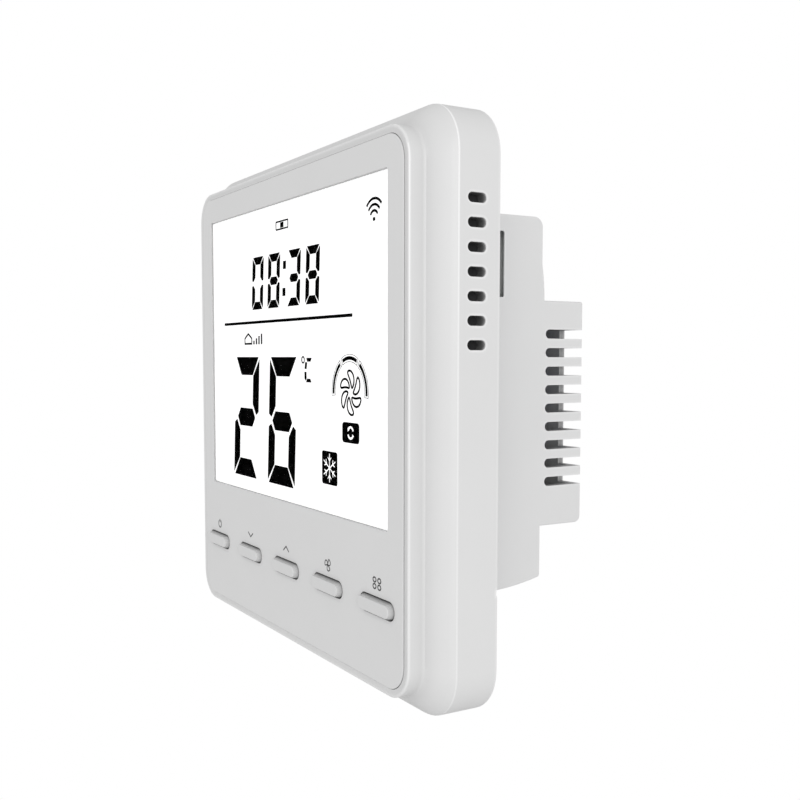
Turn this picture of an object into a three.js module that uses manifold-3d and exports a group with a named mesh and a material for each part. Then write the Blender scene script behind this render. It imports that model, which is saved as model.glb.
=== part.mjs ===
// Wall thermostat for an 86 mm flush box: a front unit with a segment display and five keys,
// clipped over a steel mounting plate that carries a stepped rear housing with the power board.
//
// Millimetres. +Z is up, +X is to the right seen from the room, the display faces -Y,
// and the wall is the plane y = 0, with the origin at the middle of the mounting plate.

import * as THREE from 'three';
import { mergeVertices } from 'three/addons/utils/BufferGeometryUtils.js';
import Module from 'manifold-3d';

const wasm = await Module();
wasm.setup();

// ---------------------------------------------------------------- driving dimensions

const REST = 0.1; // clearance between pieces that rest on each other
const LOOSE = 0.3; // clearance round a piece that is dropped into place
const PAST = 1; // how far a cutting tool runs past the face it cuts

const flange = { size: 86, corner: 7.3, depth: 7 };
const block = { width: 79.4, height: 79.8, corner: 5.3, front: -12.7, edge: 0.4 };
const shoulder = 3; // width and depth of the sloped step between flange and block
const shell = { side: 2, block: 1.8, stepY: -6.2 };

const panel = { border: 1.15, sideBorder: 1.4, groove: 0.15, corner: 4.1, thick: 1.2 };
const view = { width: 68.2, height: 50.6, midZ: 8.95, corner: 0.4, recess: 0.1, lensThick: 0.2 };
const shelf = { front: -11.4, back: -10 };

const lcd = { width: 71, height: 53.6, midZ: 8.6, front: -11.2, thick: 2.2, faceFront: -12.3 };
const backlight = { width: 70, height: 50.4, midZ: 9.7, thick: 2.5 };
const lcdFrame = { wall: 0.9, front: -9.9, back: -6.3 };
const zebra = { width: 60, height: 1.6, z: -17 };

const keys = {
  names: ['power', 'down', 'up', 'fan', 'menu'],
  pitch: 15.5,
  z: -27.6,
  width: 9.7,
  height: 2.5,
  gap: 0.15,
  proud: 0.85,
  collarWidth: 11.8,
  collarHeight: 4.6,
  collarFront: -9.8,
  back: -8.6,
};
const tact = { width: 6, height: 3.6, thick: 1.8, stem: 0.8, stemRise: 0.6 };

const controlBoard = { size: 80.8, corner: 5, front: -6, back: -4.4 };
const boardScrews = [[-38.9, 30], [38.9, 30], [-30, -34.5], [30, -34.5]];
const selfTapper = { shank: 0.8, head: 1.9, headThick: 1.2, length: 4 };
const boss = 2;
const screwHole = 1.1;

const vents = { count: 7, pitch: 3.3, length: 3, height: 1.33, midY: -3.9, midZ: 19.73 };
const pryNotch = { z: -25, height: 1.6, depth: 0.35 };

const plate = { size: 81.2, corner: 5, thick: 1.2 };
const wallSlots = { x: 30.15, width: 4.6, length: 8, corner: 2.2 };
const tongue = { x: 22, width: 9, thick: 1, reach: 2.8 };

// Side view of the rear housing: a wide first stage and a shorter second stage behind it.
const rear = {
  halfWidth: 26,
  wall: 1.6,
  backWall: 1.1,
  top: 30.75,
  bottom: -29.4,
  curveStartY: 9.8,
  bottomAtBack: -28.1,
  stageBack: 21.3,
  ledgeBack: 21.8,
  ledgeTop: 23.2,
  stepTop: 17.4,
  stepBottom: -19.55,
  back: 29.86,
  corner: 1.1,
  stageCorner: 0.6,
  ledgeCorner: 0.4,
  topCorner: 1.6,
};
const lip = { front: -2.6, back: -1.3, top: 37.4, bottom: -36, corner: 2 };
const lipScrews = { x: 20, topZ: 34.2, bottomZ: -32.8, shank: 1.1, head: 2.2, headThick: 1.1 };
const comb = { count: 9, pitch: 3.03, height: 1.5, midZ: -0.13, startY: 22, innerX: 21.4 };
const sideWindow = { startY: 5, endY: 13.5, bottom: 17.7, top: 28.1 };

const powerBoard = { width: 48.2, bottom: -27.4, top: 28.9, front: 3, back: 4.6 };
const posts = [[-21.8, -24.9], [21.8, -24.9]];
const postRadius = 1.8;

const terminals = { count: 6, pitch: 7.6, halfWidth: 23.6, front: 5, back: 19.4, bottom: 17.6, top: 29 };
const wireWay = { width: 3.9, front: 7.1, back: 11, bottom: 20 };
const clampScrew = {
  z: 25.6,
  bore: 1.95,
  shank: 1.2,
  head: 1.75,
  tip: 8.6,
  plateFront: 9.4,
  plateBack: 10.4,
  headFront: 16,
  headBack: 17.6,
};

const relays = { count: 4, pitch: 11.6, width: 10.2, height: 18.4, midZ: 6, depth: 15.2 };
const header = { pins: 12, pitch: 2.54, width: 2.5, z: -21, pin: 0.64, hole: 1, tip: 1.4 };

// ---------------------------------------------------------------- shapes

function roundedRect(width, height, radius, midX = 0, midZ = 0) {
  const shape = new THREE.Shape();
  const left = midX - width / 2;
  const right = midX + width / 2;
  const low = midZ - height / 2;
  const high = midZ + height / 2;
  shape.moveTo(left + radius, low);
  shape.lineTo(right - radius, low);
  shape.absarc(right - radius, low + radius, radius, -Math.PI / 2, 0);
  shape.lineTo(right, high - radius);
  shape.absarc(right - radius, high - radius, radius, 0, Math.PI / 2);
  shape.lineTo(left + radius, high);
  shape.absarc(left + radius, high - radius, radius, Math.PI / 2, Math.PI);
  shape.lineTo(left, low + radius);
  shape.absarc(left + radius, low + radius, radius, Math.PI, Math.PI * 1.5);
  return shape;
}

function rect(left, low, right, high) {
  const corners = [[left, low], [right, low], [right, high], [left, high]];
  return new THREE.Shape(corners.map(([a, b]) => new THREE.Vector2(a, b)));
}

// A slot with round ends, its long way across.
function obround(width, height, midX = 0, midZ = 0) {
  const shape = new THREE.Shape();
  const radius = height / 2;
  const reach = width / 2 - radius;
  shape.absarc(midX + reach, midZ, radius, -Math.PI / 2, Math.PI / 2);
  shape.absarc(midX - reach, midZ, radius, Math.PI / 2, Math.PI * 1.5);
  return shape;
}

function disc(radius, midX = 0, midZ = 0) {
  const shape = new THREE.Shape();
  shape.absarc(midX, midZ, radius, 0, Math.PI * 2);
  return shape;
}

// ---------------------------------------------------------------- solids

function solid(geometry) {
  const bare = geometry.index ? geometry.toNonIndexed() : geometry.clone();
  bare.deleteAttribute('normal');
  bare.deleteAttribute('uv');
  const merged = mergeVertices(bare, 1e-4);
  const mesh = new wasm.Mesh({
    numProp: 3,
    vertProperties: Float32Array.from(merged.attributes.position.array),
    triVerts: Uint32Array.from(merged.index.array),
  });
  return new wasm.Manifold(mesh);
}

function geometryOf(manifold) {
  const { vertProperties, triVerts } = manifold.getMesh();
  const geometry = new THREE.BufferGeometry();
  geometry.setAttribute('position', new THREE.BufferAttribute(vertProperties, 3));
  geometry.setIndex(new THREE.BufferAttribute(triVerts, 1));
  return geometry;
}

const join = (first, ...others) => others.reduce((sum, other) => sum.add(other), first);
const cut = (body, ...tools) => tools.reduce((rest, tool) => rest.subtract(tool), body);

// A shape drawn in x and z, made solid from its front y to its back y.
function slab(shape, front, back, bevel = {}) {
  const { size = 0, steps = 1, segments = 3 } = bevel;
  const geometry = new THREE.ExtrudeGeometry(shape, {
    depth: back - front - 2 * size,
    curveSegments: segments,
    bevelEnabled: size > 0,
    bevelThickness: size,
    bevelSize: size,
    bevelOffset: -size,
    bevelSegments: steps,
  });
  geometry.rotateX(Math.PI / 2);
  geometry.translate(0, back - size, 0);
  return solid(geometry);
}

// A shape drawn in y and z, made solid from its low x to its high x.
function across(shape, low, high, segments = 3) {
  const geometry = new THREE.ExtrudeGeometry(shape, {
    depth: high - low,
    curveSegments: segments,
    bevelEnabled: false,
  });
  const basis = new THREE.Matrix4().makeBasis(
    new THREE.Vector3(0, 1, 0),
    new THREE.Vector3(0, 0, 1),
    new THREE.Vector3(1, 0, 0),
  );
  geometry.applyMatrix4(basis);
  geometry.translate(low, 0, 0);
  return solid(geometry);
}

function box(low, high) {
  const size = high.map((value, axis) => value - low[axis]);
  const geometry = new THREE.BoxGeometry(...size);
  geometry.translate(...low.map((value, axis) => value + size[axis] / 2));
  return solid(geometry);
}

// A round bar along y.
const bar = (radius, x, z, front, back) => slab(disc(radius, x, z), front, back, { segments: 6 });

// ---------------------------------------------------------------- materials and scene

function material(color, roughness, metalness = 0) {
  return new THREE.MeshStandardMaterial({ color, roughness, metalness });
}

const looks = {
  housing: material(0xe4e4e4, 0.5),
  panel: material(0xd4d4d4, 0.55),
  key: material(0xd2d2d2, 0.45),
  lens: material(0xf4f7f8, 0.08),
  glass: material(0xf2f4f4, 0.15),
  diffuser: material(0xfbfbfb, 0.6),
  frame: material(0xeeeeee, 0.6),
  elastomer: material(0x5c6570, 0.8),
  board: material(0x1f5a3a, 0.5),
  chip: material(0x202124, 0.5),
  module: material(0xb9bcc0, 0.3, 0.8),
  tactBody: material(0x24262a, 0.5),
  tactStem: material(0x101113, 0.5),
  bead: material(0x161616, 0.4),
  cell: material(0xc4c6c8, 0.25, 1),
  steel: material(0xb6babd, 0.35, 1),
  screw: material(0x9da1a5, 0.3, 1),
  terminal: material(0xb6bab8, 0.6),
  relay: material(0x1d4f8c, 0.45),
  transformer: material(0xd8b23c, 0.5),
  sleeve: material(0x22262e, 0.4),
  film: material(0xb98a2a, 0.5),
  varistor: material(0x2b62a8, 0.4),
  fuse: material(0x2a2a2c, 0.5),
  ferrite: material(0x3a3a3c, 0.7),
  connector: material(0x18191b, 0.5),
};

const frontUnit = new THREE.Group();
const wallUnit = new THREE.Group();

function place(group, name, body, look) {
  const mesh = new THREE.Mesh(geometryOf(body), look);
  mesh.name = name;
  group.add(mesh);
}

// ---------------------------------------------------------------- front housing and display

function viewShape(clearance = 0) {
  return roundedRect(
    view.width - 2 * clearance,
    view.height - 2 * clearance,
    view.corner,
    0,
    view.midZ,
  );
}

function keyShape(extra) {
  return obround(keys.width + 2 * extra, keys.height + 2 * extra, 0, keys.z);
}

const keyX = (index) => (index - (keys.names.length - 1) / 2) * keys.pitch;

function keyHoles(extra, front, back) {
  return keys.names.map((name, index) => slab(keyShape(extra), front, back).translate([keyX(index), 0, 0]));
}

function housingOutside() {
  const foot = slab(roundedRect(flange.size, flange.size, flange.corner), -flange.depth - shoulder,
    flange.depth + shoulder, { size: shoulder });
  const front = slab(roundedRect(block.width, block.height, block.corner), block.front, PAST,
    { size: block.edge });
  const wallSide = box([-flange.size, 0, -flange.size], [flange.size, flange.size, flange.size]);
  return cut(join(foot, front), wallSide);
}

function ventSlots() {
  const slots = [];
  for (let index = 0; index < vents.count; index += 1) {
    const z = vents.midZ + ((vents.count - 1) / 2 - index) * vents.pitch;
    const shape = obround(vents.length, vents.height, vents.midY, z);
    slots.push(across(shape, flange.size / 2 - shell.side - PAST, flange.size / 2 + PAST));
  }
  return slots;
}

function frontHousing() {
  const lowerInside = flange.size - 2 * shell.side;
  const lower = slab(roundedRect(lowerInside, lowerInside, flange.corner - shell.side), shell.stepY, PAST);
  const upper = slab(
    roundedRect(block.width - 2 * shell.block, block.height - 2 * shell.block, block.corner - shell.block),
    shelf.back,
    shell.stepY + PAST,
  );
  const panelRecess = slab(
    roundedRect(block.width - 2 * panel.sideBorder, block.height - 2 * panel.border, panel.corner),
    block.front - PAST,
    shelf.front,
  );
  const displayWay = slab(
    roundedRect(lcd.width + 2 * LOOSE, lcd.height + 2 * LOOSE, 1, 0, lcd.midZ),
    shelf.front - PAST,
    shelf.back + PAST,
  );
  const notch = box(
    [flange.size / 2 - 1, -pryNotch.depth, pryNotch.z - pryNotch.height / 2],
    [flange.size / 2 + PAST, PAST, pryNotch.z + pryNotch.height / 2],
  );
  const outside = housingOutside();
  const post = ([x, z]) => bar(boss, x, z, shelf.back - 0.5, shell.stepY).intersect(outside);
  const bosses = boardScrews.map(post);
  const pilots = boardScrews.map(([x, z]) => bar(selfTapper.shank + REST, x, z, shelf.back + boss / 2, 0));
  const hollow = cut(outside, lower, upper, panelRecess, displayWay, notch, ...ventSlots());
  const drilled = cut(join(hollow, ...bosses), ...pilots);
  return cut(drilled, ...keyHoles(keys.gap + REST, shelf.front - PAST, shelf.back + PAST));
}

function frontPanel() {
  const width = block.width - 2 * (panel.sideBorder + panel.groove);
  const height = block.height - 2 * (panel.border + panel.groove);
  const sheet = slab(
    roundedRect(width, height, panel.corner - panel.groove),
    block.front,
    block.front + panel.thick,
  );
  const opening = slab(viewShape(), block.front - PAST, PAST);
  return cut(sheet, opening, ...keyHoles(keys.gap, block.front - PAST, PAST));
}

function displayLens() {
  const front = block.front + view.recess;
  return slab(viewShape(REST), front, front + view.lensThick);
}

// The rear glass is larger than the front glass, which stands up into the window opening.
function lcdPanel() {
  const rearGlass = roundedRect(lcd.width, lcd.height, 0.5, 0, lcd.midZ);
  return join(
    slab(rearGlass, lcd.front, lcd.front + lcd.thick, { segments: 2 }),
    slab(viewShape(REST), lcd.faceFront, lcd.front + lcd.thick / 2),
  );
}

function lcdBacklight() {
  const front = lcd.front + lcd.thick + REST;
  const shape = roundedRect(backlight.width, backlight.height, 0.5, 0, backlight.midZ);
  return slab(shape, front, front + backlight.thick, { segments: 2 });
}

function lcdSurround() {
  const inner = [lcd.width + 2 * REST, lcd.height + 2 * REST];
  const outer = inner.map((length) => length + 2 * lcdFrame.wall);
  const ring = slab(roundedRect(...outer, 1, 0, lcd.midZ), lcdFrame.front, lcdFrame.back);
  const way = roundedRect(...inner, 0.5, 0, lcd.midZ);
  return cut(ring, slab(way, lcdFrame.front - PAST, lcdFrame.back + PAST, { segments: 2 }));
}

function lcdConnector() {
  const front = lcd.front + lcd.thick + REST;
  return box(
    [-zebra.width / 2, front, zebra.z - zebra.height / 2],
    [zebra.width / 2, controlBoard.front - REST, zebra.z + zebra.height / 2],
  );
}

place(frontUnit, 'front_housing', frontHousing(), looks.housing);
place(frontUnit, 'front_panel', frontPanel(), looks.panel);
place(frontUnit, 'display_lens', displayLens(), looks.lens);
place(frontUnit, 'lcd_panel', lcdPanel(), looks.glass);
place(frontUnit, 'lcd_backlight', lcdBacklight(), looks.diffuser);
place(frontUnit, 'lcd_frame', lcdSurround(), looks.frame);
place(frontUnit, 'lcd_connector', lcdConnector(), looks.elastomer);

// ---------------------------------------------------------------- keys and their switches

function keyCap() {
  const face = slab(keyShape(0), block.front - keys.proud, keys.collarFront + 0.2, { size: 0.2 });
  const collar = slab(
    roundedRect(keys.collarWidth, keys.collarHeight, 1, 0, keys.z),
    keys.collarFront,
    keys.back,
    { segments: 2 },
  );
  return join(face, collar);
}

const tactFront = controlBoard.front - REST - tact.thick;

function tactBody() {
  const body = box(
    [-tact.width / 2, tactFront, keys.z - tact.height / 2],
    [tact.width / 2, controlBoard.front - REST, keys.z + tact.height / 2],
  );
  return cut(body, bar(tact.stem + REST, 0, keys.z, tactFront - PAST, PAST));
}

function tactStem() {
  return bar(tact.stem, 0, keys.z, tactFront - tact.stemRise, tactFront + tact.thick / 2);
}

keys.names.forEach((name, index) => {
  const offset = [keyX(index), 0, 0];
  place(frontUnit, `${name}_key`, keyCap().translate(offset), looks.key);
  place(frontUnit, `${name}_switch_body`, tactBody().translate(offset), looks.tactBody);
  place(frontUnit, `${name}_switch_stem`, tactStem().translate(offset), looks.tactStem);
});

// ---------------------------------------------------------------- control board

const onBoard = controlBoard.back + REST;

function controlBoardBody() {
  const sheet = slab(
    roundedRect(controlBoard.size, controlBoard.size, controlBoard.corner),
    controlBoard.front,
    controlBoard.back,
    { segments: 4 },
  );
  return cut(sheet, ...boardScrews.map(([x, z]) => bar(screwHole, x, z, controlBoard.front - PAST, 0)));
}

function screwInto(x, z, seat) {
  const head = bar(selfTapper.head, x, z, seat, seat + selfTapper.headThick);
  const shank = bar(selfTapper.shank, x, z, seat - selfTapper.length, seat + selfTapper.headThick / 2);
  return join(head, shank);
}

function wifiModule() {
  const carrier = box([5, onBoard, 0], [21, onBoard + 0.8, 24]);
  const can = box([5.7, onBoard + 0.5, 0.8], [20.3, onBoard + 2.6, 17.5]);
  return join(carrier, can);
}

function temperatureSensor() {
  const beadRadius = 1.1;
  const geometry = new THREE.SphereGeometry(beadRadius, 12, 8);
  geometry.translate(39, onBoard + beadRadius, vents.midZ);
  const lead = (z) => box([33, onBoard, z - 0.25], [38.7, onBoard + 0.5, z + 0.25]);
  return join(solid(geometry), lead(vents.midZ - 0.6), lead(vents.midZ + 0.6));
}

// Square bars at the header's pitch, from a front y to a back y.
function pinRow(size, front, back) {
  const half = size / 2;
  return Array.from({ length: header.pins }, (_, index) => {
    const x = (index - (header.pins - 1) / 2) * header.pitch;
    return box([x - half, front, header.z - half], [x + half, back, header.z + half]);
  });
}

const headerHalf = (header.pins * header.pitch) / 2;

function headerPins() {
  const base = box(
    [-headerHalf, onBoard, header.z - header.width / 2],
    [headerHalf, onBoard + 2, header.z + header.width / 2],
  );
  return join(base, ...pinRow(header.pin, onBoard + 1, header.tip));
}

place(frontUnit, 'control_board', controlBoardBody(), looks.board);
boardScrews.forEach(([x, z], index) => {
  place(frontUnit, `control_board_screw_${index + 1}`, screwInto(x, z, onBoard), looks.screw);
});
place(frontUnit, 'microcontroller', box([-18, onBoard, 2], [-6, onBoard + 1.4, 14]), looks.chip);
place(frontUnit, 'wifi_module', wifiModule(), looks.module);
place(frontUnit, 'backup_cell', bar(4.8, -14, -9, onBoard, onBoard + 2.1), looks.cell);
place(frontUnit, 'temperature_sensor', temperatureSensor(), looks.bead);
place(frontUnit, 'header_pins', headerPins(), looks.connector);

// ---------------------------------------------------------------- steel mounting plate

const lipScrewPlaces = [
  [-lipScrews.x, lipScrews.topZ],
  [lipScrews.x, lipScrews.topZ],
  [-lipScrews.x, lipScrews.bottomZ],
  [lipScrews.x, lipScrews.bottomZ],
];

function mountingPlate() {
  const edge = plate.size / 2;
  const sheet = slab(roundedRect(plate.size, plate.size, plate.corner), -plate.thick, 0, { segments: 4 });
  const tongues = [];
  for (const x of [-tongue.x, tongue.x]) {
    for (const low of [-edge, edge - tongue.thick]) {
      tongues.push(box(
        [x - tongue.width / 2, -plate.thick - tongue.reach, low],
        [x + tongue.width / 2, -plate.thick / 2, low + tongue.thick],
      ));
    }
  }
  const opening = slab(
    rect(-rear.halfWidth - LOOSE, rear.bottom - LOOSE, rear.halfWidth + LOOSE, rear.top + LOOSE),
    -PAST - plate.thick,
    PAST,
  );
  const slots = [-wallSlots.x, wallSlots.x].map((x) => slab(
    roundedRect(wallSlots.width, wallSlots.length, wallSlots.corner, x, 0),
    -PAST - plate.thick,
    PAST,
  ));
  const holes = lipScrewPlaces.map(([x, z]) => bar(lipScrews.shank + REST, x, z, -PAST - plate.thick, PAST));
  return cut(join(sheet, ...tongues), opening, ...slots, ...holes);
}

function housingScrew(x, z) {
  const seat = lip.front - REST;
  const head = bar(lipScrews.head, x, z, seat - lipScrews.headThick, seat);
  return join(head, bar(lipScrews.shank, x, z, seat - lipScrews.headThick / 2, -REST));
}

place(wallUnit, 'mounting_plate', mountingPlate(), looks.steel);
lipScrewPlaces.forEach(([x, z], index) => {
  place(wallUnit, `housing_screw_${index + 1}`, housingScrew(x, z), looks.screw);
});

// ---------------------------------------------------------------- rear housing

// The outline in y and z, from the front of the underside round to the front of the top.
function rearOutline() {
  const run = rear.stageBack - rear.stageCorner - rear.curveStartY;
  const rise = rear.bottomAtBack - rear.bottom;
  const bottomArc = (run * run + rise * rise) / (2 * rise);
  const sweep = Math.asin(run / bottomArc);
  const shape = new THREE.Shape();
  shape.moveTo(lip.back - 0.5, rear.bottom);
  shape.lineTo(rear.curveStartY, rear.bottom);
  shape.absarc(rear.curveStartY, rear.bottom + bottomArc, bottomArc, -Math.PI / 2, -Math.PI / 2 + sweep);
  const { stageCorner, ledgeCorner } = rear;
  shape.absarc(rear.stageBack - stageCorner, rear.bottomAtBack + stageCorner, stageCorner, -Math.PI / 2, 0);
  shape.lineTo(rear.stageBack, rear.stepBottom);
  shape.lineTo(rear.back - rear.corner, rear.stepBottom);
  shape.absarc(rear.back - rear.corner, rear.stepBottom + rear.corner, rear.corner, -Math.PI / 2, 0);
  shape.lineTo(rear.back, rear.stepTop - ledgeCorner);
  shape.absarc(rear.back - ledgeCorner, rear.stepTop - ledgeCorner, ledgeCorner, 0, Math.PI / 2);
  shape.lineTo(rear.ledgeBack, rear.stepTop);
  shape.quadraticCurveTo(rear.ledgeBack, (rear.stepTop + rear.ledgeTop) / 2, rear.stageBack, rear.ledgeTop);
  shape.lineTo(rear.stageBack, rear.top - rear.topCorner);
  shape.absarc(rear.stageBack - rear.topCorner, rear.top - rear.topCorner, rear.topCorner, 0, Math.PI / 2);
  shape.lineTo(lip.back - 0.5, rear.top);
  return shape;
}

function rearInside() {
  const wall = rear.wall;
  const deep = rear.stageBack - wall;
  const points = [
    [lip.front - PAST, rear.bottom + wall],
    [rear.curveStartY, rear.bottom + wall],
    [deep, rear.bottomAtBack + wall],
    [deep, rear.stepBottom + wall],
    [rear.back - rear.backWall, rear.stepBottom + wall],
    [rear.back - rear.backWall, rear.stepTop - wall],
    [deep, rear.stepTop - wall],
    [deep, rear.top - wall],
    [lip.front - PAST, rear.top - wall],
  ];
  return new THREE.Shape(points.map(([y, z]) => new THREE.Vector2(y, z)));
}

// Cooling slots that wrap from each side wall on to the back wall.
function combSlots() {
  const slots = [];
  for (let index = 0; index < comb.count; index += 1) {
    const z = comb.midZ + (index - (comb.count - 1) / 2) * comb.pitch;
    const length = 2 * (rear.back - comb.startY);
    const shape = obround(length, comb.height, comb.startY + length / 2, z);
    slots.push(across(shape, comb.innerX, rear.halfWidth + PAST));
    slots.push(across(shape, -rear.halfWidth - PAST, -comb.innerX));
  }
  return slots;
}

const terminalX = (index) => (index - (terminals.count - 1) / 2) * terminals.pitch;
const eachTerminal = (make) => Array.from({ length: terminals.count }, (_, index) => make(terminalX(index)));

function wireChannel(x, low, high) {
  const half = wireWay.width / 2;
  return box([x - half, wireWay.front, low], [x + half, wireWay.back, high]);
}

const screwBore = (x, front, back) => bar(clampScrew.bore, x, clampScrew.z, front, back);

function rearHousing() {
  const body = across(rearOutline(), -rear.halfWidth, rear.halfWidth, 4);
  const lipHeight = lip.top - lip.bottom;
  const lipMid = (lip.top + lip.bottom) / 2;
  const lipPlate = slab(
    roundedRect(2 * rear.halfWidth, lipHeight, lip.corner, 0, lipMid),
    lip.front,
    lip.back,
    { segments: 3 },
  );
  const inside = across(rearInside(), -rear.halfWidth + rear.wall, rear.halfWidth - rear.wall);
  const hollow = cut(join(body, lipPlate), inside);
  const supports = posts.map(([x, z]) => bar(postRadius, x, z, powerBoard.back + REST, rear.stageBack - 1));
  const pilotEnd = powerBoard.back + selfTapper.length + PAST;
  const pilots = posts.map(([x, z]) => bar(selfTapper.shank + REST, x, z, powerBoard.back, pilotEnd));
  const windows = [-1, 1].map((side) => box(
    [side * rear.halfWidth - 2, sideWindow.startY, sideWindow.bottom],
    [side * rear.halfWidth + 2, sideWindow.endY, sideWindow.top],
  ));
  const wireEntries = eachTerminal((x) => wireChannel(x, terminals.top, rear.top + PAST));
  const driverHoles = eachTerminal((x) => screwBore(x, terminals.back, rear.stageBack + PAST));
  const lipHoles = lipScrewPlaces.map(([x, z]) => bar(lipScrews.shank + LOOSE, x, z, lip.front - PAST, 0));
  const tools = [...windows, ...wireEntries, ...driverHoles, ...lipHoles, ...combSlots()];
  return cut(join(hollow, ...supports), ...pilots, ...tools);
}

place(wallUnit, 'rear_housing', rearHousing(), looks.housing);

// ---------------------------------------------------------------- power board and terminals

const onPower = powerBoard.back + REST;

function powerBoardBody() {
  const half = powerBoard.width / 2;
  const sheet = slab(rect(-half, powerBoard.bottom, half, powerBoard.top), powerBoard.front, powerBoard.back);
  const hole = ([x, z]) => bar(screwHole, x, z, powerBoard.front - PAST, powerBoard.back + PAST);
  return cut(sheet, ...posts.map(hole));
}

function powerBoardScrew(x, z) {
  const seat = powerBoard.front - REST;
  const head = bar(selfTapper.head, x, z, seat - selfTapper.headThick, seat);
  return join(head, bar(selfTapper.shank, x, z, seat - selfTapper.headThick / 2, seat + selfTapper.length));
}

function boardSocket() {
  const front = onBoard + 2 + REST;
  const body = box(
    [-headerHalf, front, header.z - header.width / 2],
    [headerHalf, powerBoard.front - REST, header.z + header.width / 2],
  );
  return cut(body, ...pinRow(header.hole, front - PAST, header.tip + 0.6));
}

function terminalBlock() {
  const body = box(
    [-terminals.halfWidth, terminals.front, terminals.bottom],
    [terminals.halfWidth, terminals.back, terminals.top],
  );
  const ways = eachTerminal((x) => wireChannel(x, wireWay.bottom, terminals.top + PAST));
  const bores = eachTerminal((x) => screwBore(x, wireWay.back - 0.5, terminals.back + PAST));
  return cut(body, ...ways, ...bores);
}

// A slotted clamp screw with the square pressure plate that is captive on its tip.
function terminalScrew(x) {
  const half = wireWay.width / 2 - REST;
  const shank = bar(clampScrew.shank, x, clampScrew.z, clampScrew.tip, clampScrew.headFront + 0.5);
  const head = bar(clampScrew.head, x, clampScrew.z, clampScrew.headFront, clampScrew.headBack);
  const pressurePlate = box(
    [x - half, clampScrew.plateFront, clampScrew.z - 2.5],
    [x + half, clampScrew.plateBack, clampScrew.z + 2.5],
  );
  const slot = box(
    [x - clampScrew.head - PAST, clampScrew.headBack - 0.6, clampScrew.z - 0.3],
    [x + clampScrew.head + PAST, clampScrew.headBack + PAST, clampScrew.z + 0.3],
  );
  return cut(join(shank, head, pressurePlate), slot);
}

function relay(index) {
  const x = (index - (relays.count - 1) / 2) * relays.pitch;
  const shape = roundedRect(relays.width, relays.height, 0.6, x, relays.midZ);
  return slab(shape, onPower, onPower + relays.depth, { segments: 2 });
}

function transformer() {
  const x = -1;
  const z = -10.6;
  const bobbin = box([x - 5, onPower, z - 6], [x + 5, onPower + 13.5, z + 6]);
  const core = box([x - 7.5, onPower + 3, z - 3.2], [x + 7.5, onPower + 15, z + 3.2]);
  return join(bobbin, core);
}

place(wallUnit, 'power_board', powerBoardBody(), looks.board);
posts.forEach(([x, z], index) => {
  place(wallUnit, `power_board_screw_${index + 1}`, powerBoardScrew(x, z), looks.screw);
});
place(wallUnit, 'board_socket', boardSocket(), looks.connector);
place(wallUnit, 'terminal_block', terminalBlock(), looks.terminal);
eachTerminal(terminalScrew).forEach((screw, index) => {
  place(wallUnit, `terminal_screw_${index + 1}`, screw, looks.screw);
});
['fan_low', 'fan_medium', 'fan_high', 'valve'].forEach((name, index) => {
  place(wallUnit, `${name}_relay`, relay(index), looks.relay);
});
place(wallUnit, 'power_transformer', transformer(), looks.transformer);
place(wallUnit, 'bulk_capacitor', bar(5, -16.4, -10.4, onPower, onPower + 20), looks.sleeve);
place(wallUnit, 'output_capacitor', bar(4, 12, -9.6, onPower, onPower + 14), looks.sleeve);
place(wallUnit, 'fuse', bar(3, 20, -9.6, onPower, onPower + 8), looks.fuse);
place(wallUnit, 'filter_capacitor', box([-17, onPower, -25], [-4, onPower + 12, -19]), looks.film);
place(wallUnit, 'line_choke', bar(3.6, 2, -22, onPower, onPower + 10), looks.ferrite);
place(wallUnit, 'varistor', box([8.5, onPower, -24], [17, onPower + 9.5, -20]), looks.varistor);

const thermostat = new THREE.Group();
thermostat.add(wallUnit, frontUnit);

export default thermostat;
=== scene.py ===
import math
from functools import partial

import bmesh
import bpy
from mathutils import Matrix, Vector

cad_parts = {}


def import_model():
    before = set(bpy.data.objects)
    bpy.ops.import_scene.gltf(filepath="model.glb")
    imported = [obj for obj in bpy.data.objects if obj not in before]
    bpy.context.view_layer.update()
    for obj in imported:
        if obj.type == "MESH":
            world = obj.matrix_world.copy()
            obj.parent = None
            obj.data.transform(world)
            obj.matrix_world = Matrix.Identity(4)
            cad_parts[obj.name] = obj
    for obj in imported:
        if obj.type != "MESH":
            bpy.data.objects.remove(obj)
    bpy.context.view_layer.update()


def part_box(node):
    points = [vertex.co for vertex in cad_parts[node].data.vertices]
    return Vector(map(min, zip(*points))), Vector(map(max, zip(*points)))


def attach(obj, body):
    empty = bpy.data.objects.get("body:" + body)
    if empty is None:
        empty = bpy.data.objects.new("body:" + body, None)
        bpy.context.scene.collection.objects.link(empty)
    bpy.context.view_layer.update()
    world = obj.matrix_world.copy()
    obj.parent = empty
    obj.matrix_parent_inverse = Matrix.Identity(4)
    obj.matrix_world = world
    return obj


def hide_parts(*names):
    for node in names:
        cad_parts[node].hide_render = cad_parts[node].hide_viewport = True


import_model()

# Shapes are drawn in millimetres in the row frame: +Z up, -Y towards the room, +X to the right.
MM = 0.001
SMOOTH_BELOW = math.radians(32)
FRONT = "front_unit"
WALL = "wall_unit"
CORNERS = ((-1, -1), (-1, 1), (1, -1), (1, 1))


# ---------------------------------------------------------------- outlines

def compass(mid_u, mid_v, radius, degrees):
    angle = math.radians(degrees)
    return mid_u + radius * math.cos(angle), mid_v + radius * math.sin(angle)


def arc(mid_u, mid_v, radius, start, end, steps):
    return [compass(mid_u, mid_v, radius, start + (end - start) * k / steps) for k in range(steps + 1)]


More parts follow.
